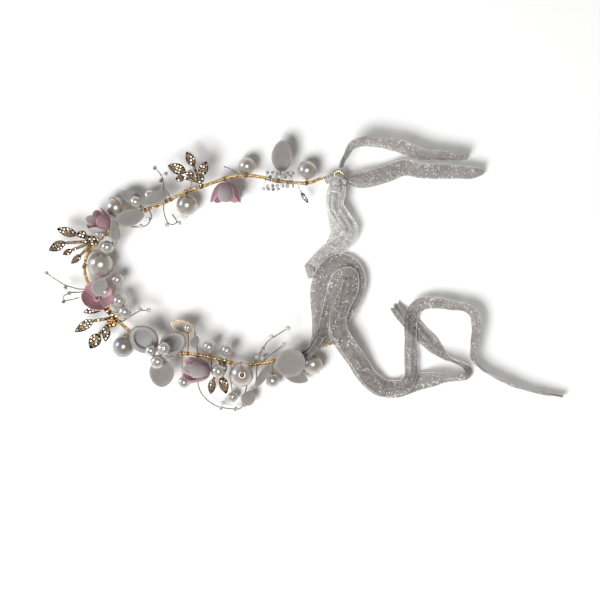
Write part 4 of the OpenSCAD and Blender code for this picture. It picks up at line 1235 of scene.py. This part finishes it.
def silver_twigs():
    """Each twig is a pair of fine silver wires laid round each other along the frame's route, on
    to the head wire."""
    for name, routes in TWIGS.items():
        shapes = []
        for route in routes:
            path = spline(np.array(route) * MM, 8)
            shapes += twisted_pair(path, SILVER_D, 1.5 * MM)
            gaps = [np.linalg.norm(wire_path - e, axis=1).min() for e in path[[0, -1]]]
            start, before = (path[0], path[1]) if gaps[0] < gaps[1] else (path[-1], path[-2])
            root = nearest_on_wire(start + unit(start - before) * 6 * MM)
            if min(gaps) > WRAP_D / 2:
                shapes += twisted_pair(np.linspace(start, wire_path[root], 10), SILVER_D, 1.5 * MM)
            shapes.append(binding(root, 3, 0.3 * MM))
        piece(name.replace("silver_wires", "silver_twigs"), shapes, [SILVER], "crown", [name])


def crystal_beads():
    """A cut bead where the frame has a crystal, with a collar of silver under it and a short wire
    from the nearest point of its twig."""
    rng = np.random.default_rng(11)
    threads = {name.replace("silver_wires", "crystals"):
               np.concatenate([spline(np.array(route) * MM, 8) for route in routes])
               for name, routes in TWIGS.items()}
    for name in ("crystals_left", "crystals_top", "crystals_lower", "crystal_cluster"):
        found = [middle_and_size(c) for c in solids(name)]
        at = np.array([m for m, _ in found])
        growth = 1.0 if name == "crystal_cluster" else CRYSTAL_GROWTH
        size = np.array([s for _, s in found]) * growth * rng.uniform(0.94, 1.06, len(found))
        turns = np.array([aim(rng.normal(size=3), rng.uniform(0, TURN)) for _ in found])
        shapes = [copies(faceted_bead(1.0), at, size, turns),
                  copies(setting_cup(paint=1), at - [0, 0, 0.3 * MM], size * 0.86)]
        for m in at if name in threads else ():
            twig = threads[name]
            q = twig[np.argmin(np.linalg.norm(twig - m, axis=1))]
            bow = (q + m) / 2 + [0, 0, 0.3 * MM]
            shapes.append(tube(spline([q, bow, m], 5), 0.2 * MM, 7, paint=1))
        if name == "crystal_cluster":
            for one, other in zip(at, at[1:]):
                if np.linalg.norm(other - one) < 4 * MM:
                    bow = (one + other) / 2 + [0, 0, 0.5 * MM]
                    shapes.append(tube(spline([one, bow, other], 5), 0.13 * MM, 6, paint=1))
            for m in at[::2]:
                root = nearest_on_wire(m)
                shapes.append(tube(np.linspace(m, wire_path[root], 5), 0.14 * MM, 6, paint=1))
                shapes.append(binding(root, 2, 0.3 * MM, paint=1))
        piece(name + "_cut", shapes, [CRYSTAL, SILVER], "crown", [name])


def silver_leaf_piece():
    """Small ribbed leaf on a bent stalk."""
    leaf = moved(petal(7.6 * MM, 2.6 * MM, 0.9 * MM, ribs=7, rib=0.14 * MM, vein=0.2 * MM,
                       half_cols=51), laid(304), np.array([52, 41.8, 7.8]) * MM)
    stalk = tube(spline(np.array([[48, 49.6, 8.4], [49, 46.6, 8.2], [50.4, 44.4, 8]]) * MM, 8),
                 0.32 * MM, 10)
    piece("small_silver_leaf", seated([leaf, stalk], "silver_leaf"), [SILVER], "crown",
          ["silver_leaf"])


silver_twigs()
crystal_beads()
silver_leaf_piece()


# ---------------------------------------------------------------- ribbons

RIBBON_W = 10 * MM
UPPER_TIE = joint_at["tail_a_swing"] * [1, 1, 0]
LOWER_TIE = joint_at["lower_ribbon_swing"] * [1, 1, 0]
TAIL_TIE = joint_at["tail_c_swing"] * [1, 1, 0]

# Stops: along, across and height in mm, tilt in degrees, and how far the width is gathered.
TAIL_A = [[0.8, 4.2, 9, 68, 0.4], [3, 10, 9.4, 68, 0.5], [7.5, 17.6, 9, 58, 0.8],
    [14, 20, 8, 55, 0.95], [23, 19.6, 7, 55, 0.95], [34, 17.6, 6.4, 40, 1], [42, 14.8, 6, 46, 1],
    [50, 12.6, 5.8, 54, 1], [60, 12, 5.4, 58, 0.9], [75, 11.4, 5.2, 60, 0.7]]
TAIL_B = [[4.8, -1.6, 7.4, 30, 0.4], [13, -2.4, 5.4, 10, 0.95], [27, 1, 3.6, 8, 1],
    [38, 5, 3.2, 20, 1], [49, 3, 3.6, 30, 1], [64, 2.8, 4, 34, 1], [77, 2, 4, 36, 0.9],
    [84.4, 3, 4, 50, 0.5]]
UPPER_LOOP = [[-2, -4.4, 6.4, 10, 0.7], [-2.4, -10, 6.4, 10, 0.95], [-2.8, -17, 5.6, 14, 0.95],
    [-0.6, -26, 4.4, 8, 1.05], [0.2, -34, 3, 0, 1.1], [-4.2, -43, 1.5, 0, 1],
    [-10.4, -50, 0.7, 0, 1], [-16, -55, 0.7, 0, 1]]
OUTER = [[-1, -0.6, 8.8, 0, 0.4], [2.6, 3.6, 7.6, 0, 0.65], [5.4, 9.4, 3.8, 0, 0.95],
    [5.4, 19.5, 2.2, 0, 1], [4.6, 28, 2.2, 0, 1], [5, 37, 2.5, 0, 1], [9, 46, 2.8, 0, 1],
    [16.4, 50.4, 2.9, 0, 1], [23.6, 47.6, 3, 0, 1], [26.8, 40.4, 4, 0, 1], [25.4, 32, 4.8, 0, 1],
    [21, 23.4, 5.6, 0, 1], [16.4, 15.6, 6.4, 0, 1], [15.4, 9.6, 6.8, 0, 1], [18.6, 3.4, 6.6, 0, 1],
    [25, -5.4, 4.6, 0, 1], [31, -14.6, 2.6, 0, 1], [38, -21.4, 1.6, 0, 1], [43.4, -23.2, 1, 0, 1]]
INNER = [[0.4, -1.2, 10.4, 0, 0.35], [4.6, 3.4, 9.2, 0, 0.6], [8.6, 9.8, 5.2, 0, 0.95],
    [11, 20.5, 3.4, 0, 1], [13.8, 31, 3.2, 0, 1], [17, 40.6, 4, 0, 1], [22.6, 42.8, 5.2, 0, 0.9],
    [22.6, 35, 6.2, 0, 1], [18.4, 26.4, 7, 0, 1], [15.6, 18, 7.8, 0, 1], [16.4, 10.2, 8.2, 0, 1],
    [21, 2.6, 8, 0, 1], [27.4, -6.6, 6, 0, 1], [33.6, -15.8, 4, 0, 1], [41, -22, 2.8, 0, 1],
    [44, -22.8, 2.6, 0, 1]]
TAIL_C = [[3.2, 0, 1, 0, 1], [8, 1.4, 1, 0, 1], [17, 4.6, 1.5, 6, 1],
    [27.4, 6.6, 3.8, 44, 1], [36, 6.6, 5, 66, 0.9], [42.6, 7.6, 5, 58, 0.9],
    [44.8, 10.6, 5, 60, 0.9], [42, 13.8, 5, 70, 0.9], [36, 16.4, 5, 74, 0.9],
    [28.6, 21.4, 3.8, 52, 0.9], [21.6, 28.4, 1.4, 10, 0.9], [13.6, 36.6, 0.6, 0, 0.9],
    [6.6, 44.6, 0.6, 0, 0.9], [2, 50, 0.6, 0, 0.7]]
TAIL_D = [[3.4, 1, 3.8, 0, 0.9], [8.6, 2.8, 5.2, 10, 0.85], [11.6, 9, 6.2, 24, 0.85],
    [11.6, 20, 5.4, 36, 0.9], [11.6, 34, 4.4, 36, 0.9], [12.4, 43.6, 4, 30, 0.9],
    [17, 49.2, 3.6, 26, 0.9], [25.2, 50.4, 3.8, 38, 0.9], [36.8, 48.8, 4.2, 54, 0.92],
    [45, 47, 4.4, 58, 0.92], [49.4, 41.8, 4.4, 56, 0.92], [50, 34.4, 4.4, 56, 0.92],
    [48.4, 25, 4.6, 62, 0.92], [47.8, 18.6, 4.8, 76, 0.85], [50.2, 14.4, 4.8, 84, 0.8],
    [55, 10.4, 4.8, 82, 0.8], [62.4, 6.4, 4.6, 82, 0.8], [76.2, 0.8, 4.4, 83, 0.75],
    [89, -2.4, 4.2, 84, 0.7], [100.4, -4, 4, 84, 0.6]]


def placed(stops, tie):
    """Ribbon stops in metres from their tie."""
    return np.array(stops, float) * [MM, MM, MM, 1, 1] + [*tie, 0, 0]


def ribbon_surface(stops, seed, cuts=(0.0, 0.0), ripple=0.25 * MM, thick=0.14 * MM, cols=22):
    """Ribbon through its stops: at each distance along the curve, a row across it, turned by the
    tilt. Gathering narrows the row and takes up the width in folds, sines of s; long ripples run
    along the cloth and its edges curl a little. The cut ends run ragged: each column stops short
    by its own share of the cut. Both faces and the edges are closed. Returns it and its length."""
    rng = np.random.default_rng(seed)
    path = even(spline(stops, 12), 0.7 * MM)
    whole = run_of(path)[-1]
    s = np.sin(np.linspace(-1, 1, cols) * math.pi / 2)
    ragged = rng.uniform(0, 1, cols)
    ragged = 0.5 * ragged + 0.5 * np.sin(3 * s + seed) ** 2
    first, last = cuts[0] * ragged, whole - cuts[1] * ragged
    u = np.linspace(0, 1, len(path))[:, None]
    where = first + (last - first) * u
    spot = at_run(path, where)
    along = unit(np.stack([np.gradient(path[:, k]) for k in range(3)], 1))
    run = run_of(path)
    heading = unit(np.stack([np.interp(where, run, along[:, k]) for k in range(3)], -1))
    side = unit(np.cross([0, 0, 1], heading))
    up = np.cross(heading, side)
    tilt = np.radians(spot[..., 3:4])
    across = side * np.cos(tilt) + up * np.sin(tilt)
    deep = np.cross(heading, across)
    gather = spot[..., 4]
    a, b, c = rng.uniform(0, TURN, 3)
    folds = (1.15 - np.minimum(gather, 1.1)) * 1.7 * MM
    wave = (folds * 0.5 * np.sin(2.6 * math.pi * s + a + where / (9 * MM))
            + ripple * np.sin(where / (3.7 * MM) + 2.2 * s + b)
            + 0.6 * ripple * np.sin(where / (1.6 * MM) - 3.1 * s + c) * s ** 2
            + 0.25 * MM * np.abs(s) ** 6)
    lane = s * RIBBON_W / 2 * np.minimum(gather, 1.08)
    middle = spot[..., :3] + across * lane[..., None] + deep * wave[..., None]
    middle[..., 2] = np.maximum(middle[..., 2], thick)
    lift = deep * thick / 2
    over, under = middle + lift, middle - lift
    ring = np.concatenate([over, under[:, ::-1]], axis=1)
    lane_uv = np.concatenate([s, s[::-1], s[:1]]) * RIBBON_W / 2
    row_uv = np.concatenate([run, run[-1:]])
    selvedge = smooth_step(0.92, 0.97, np.abs(np.concatenate([s, s[::-1]])))[None]
    shape = patch(ring, around=True, uv=(row_uv, lane_uv), mask=np.repeat(selvedge, len(path), 0))
    n, j = 2 * cols, np.arange(cols - 1)
    end = (len(path) - 1) * n
    near = np.stack([j, j + 1, n - 2 - j, n - 1 - j], 1)[:, ::-1]
    far = np.stack([j, j + 1, n - 2 - j, n - 1 - j], 1) + end
    for faces in (near, far):
        shape["faces"].append(faces)
        shape["uv"].append(np.zeros((len(faces), 4, 2)))
    return turn_out(shape), whole


def ribbon(name, stops, body, stands_for, seed, cuts=(0, 1.6 * MM), blend=None,
           cloth=ORGANZA):
    """One ribbon piece on its body; one that is given a blend is baked where it lies and rides on
    no body.
    """
    shape, whole = ribbon_surface(stops, seed, cuts)
    made = piece(name, [shape], [cloth], None if blend else body, stands_for)
    if blend:
        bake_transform(made)
    return made


def upper_loop_stops():
    """Down to the fold and back up over itself, a little to one side, as one strip."""
    down = placed(UPPER_LOOP, UPPER_TIE)
    back = placed([[-13.4, -51.6, 1.1, 0, 1], [-6.4, -44.6, 1.7, 0, 1], [3.6, -37.6, 3.6, 4, 0.95],
                   [6.6, -31, 5.6, 10, 0.92], [2.6, -24, 6.4, 12, 0.9],
                   [-1.4, -17.4, 7.4, 10, 0.88], [-0.6, -10, 8.2, 6, 0.92],
                   [1.0, -4.6, 7.8, 0, 0.7]], UPPER_TIE)
    return np.concatenate([down, back])


def ribbons():
    """The upper ribbon's two tails and loop, and the lower ribbon's two strands, each of which goes
    on over the fold as a tail and rides on no body."""
    ribbon("upper_ribbon_tail_a", placed(TAIL_A, UPPER_TIE), "tail_a", ["ribbon_tail_a"], 3)
    ribbon("upper_ribbon_tail_b", placed(TAIL_B, UPPER_TIE), "tail_b", ["ribbon_tail_b"], 4)
    # The loop takes the lighter copy of the organza: painted light.
    ribbon("upper_ribbon_loop", upper_loop_stops(), "upper_loop", ["ribbon_upper_loop"], 5,
           cuts=(0, 0), cloth=LIGHTENED_ORGANZA)
    outer = np.concatenate([placed([[-6, -5, 8.4, 0, 0.5]], LOWER_TIE), placed(OUTER, LOWER_TIE),
                            placed(TAIL_C, TAIL_TIE)])
    inner = np.concatenate([placed([[-4.4, -6, 9.6, 0, 0.5]], LOWER_TIE), placed(INNER, LOWER_TIE),
                            placed(TAIL_D, TAIL_TIE)])
    start, end = TAIL_TIE + [-3 * MM, 0, 0], TAIL_TIE + [2 * MM, 0, 0]
    ribbon("lower_ribbon_outer_strand", outer, None, ["ribbon_lower_outer", "ribbon_tail_c"], 6,
           cuts=(1.5 * MM, 2.4 * MM), blend=("lower_ribbon", "tail_c", start, end))
    ribbon("lower_ribbon_inner_strand", inner, None, ["ribbon_lower_inner", "ribbon_tail_d"], 8,
           cuts=(1.5 * MM, 1.2 * MM), blend=("lower_ribbon", "tail_d", start, end))


def knot_wrap(middle, way, radius, width, lean, seed, paint=0):
    """One turn of gathered ribbon round an axis: a closed flat section, full of small folds,
    carried round a circle that leans a little out of square."""
    rng = np.random.default_rng(seed)
    t = np.linspace(0, TURN, 73)[:-1]
    s = np.linspace(-1, 1, 26)
    a, b = rng.uniform(0, TURN, 2)
    fold = (0.14 * MM * np.sin(3 * math.pi * s + a)[None]
            + 0.12 * MM * np.sin(3 * t[:, None] + 4 * s[None] + b))
    out = radius + fold - 0.5 * MM * s[None] ** 4
    lift = s[None] * width / 2 + lean * np.sin(t + a)[:, None]
    skin = 0.07 * MM
    faces = []
    for off in (skin, -skin):
        r = out + off
        faces.append(np.stack([r * np.cos(t)[:, None], r * np.sin(t)[:, None], lift + 0 * r], -1))
    ring = np.concatenate([faces[0], faces[1][:, ::-1]], axis=1)
    lane_uv = np.concatenate([s, s[::-1], s[:1]]) * RIBBON_W / 2
    row_uv = np.arange(len(t) + 1) * TURN * radius / len(t)
    edge = smooth_step(0.86, 0.95, np.abs(np.concatenate([s, s[::-1]])))[None]
    shape = patch(ring, around=True, looped=True, uv=(row_uv, lane_uv),
                  mask=np.repeat(edge, len(t), 0), paint=paint)
    return moved(shape, aim(way), middle)


# Place from the eyelet in mm, axis, radius, width and lean in mm, and seed.
UPPER_WRAPS = (((-1.4, -5.2, 0), (0.12, 1, 0), (3.5, 9.4, 0.3), 21),
               ((-5.4, -1.6, 0), (1, 0.4, 0), (2.3, 6.4, 0.3), 22),
               ((2.4, -2, 0), (1, -0.8, 0), (2.1, 4.4, 0.4), 23))
# Place along the wire from the knot's middle in mm, how far the axis is off it, and the same.
LOWER_WRAPS = ((-2.6, (0, 0.2, 0), (1.9, 4.6, 0.3), 31), (2.2, (0.1, -0.2, 0), (1.8, 5.4, 0.3), 32))


def knots():
    """The upper knot is drawn through the eyelet and round its rim; the lower one is wound round
    the bare end of the wire."""
    eye = middle_of("upper_eyelet")
    shapes = [knot_wrap(eye + np.array(at) * MM, way, *np.array(sizes) * MM, seed)
              for at, way, sizes, seed in UPPER_WRAPS]
    # The knots take the lighter copy of the organza: painted light.
    upper = piece("upper_ribbon_knot", shapes, [LIGHTENED_ORGANZA], "crown", ["ribbon_upper_knot"])
    middle = middle_of("ribbon_lower_knot")
    root = nearest_on_wire(middle)
    way = unit(wire_path[root + 3] - wire_path[root - 3])
    shapes = [knot_wrap(middle + way * along * MM, way + lean, *np.array(sizes) * MM, seed)
              for along, lean, sizes, seed in LOWER_WRAPS]
    lower = piece("lower_ribbon_knot", shapes, [LIGHTENED_ORGANZA], "crown", ["ribbon_lower_knot"])


ribbons()
knots()
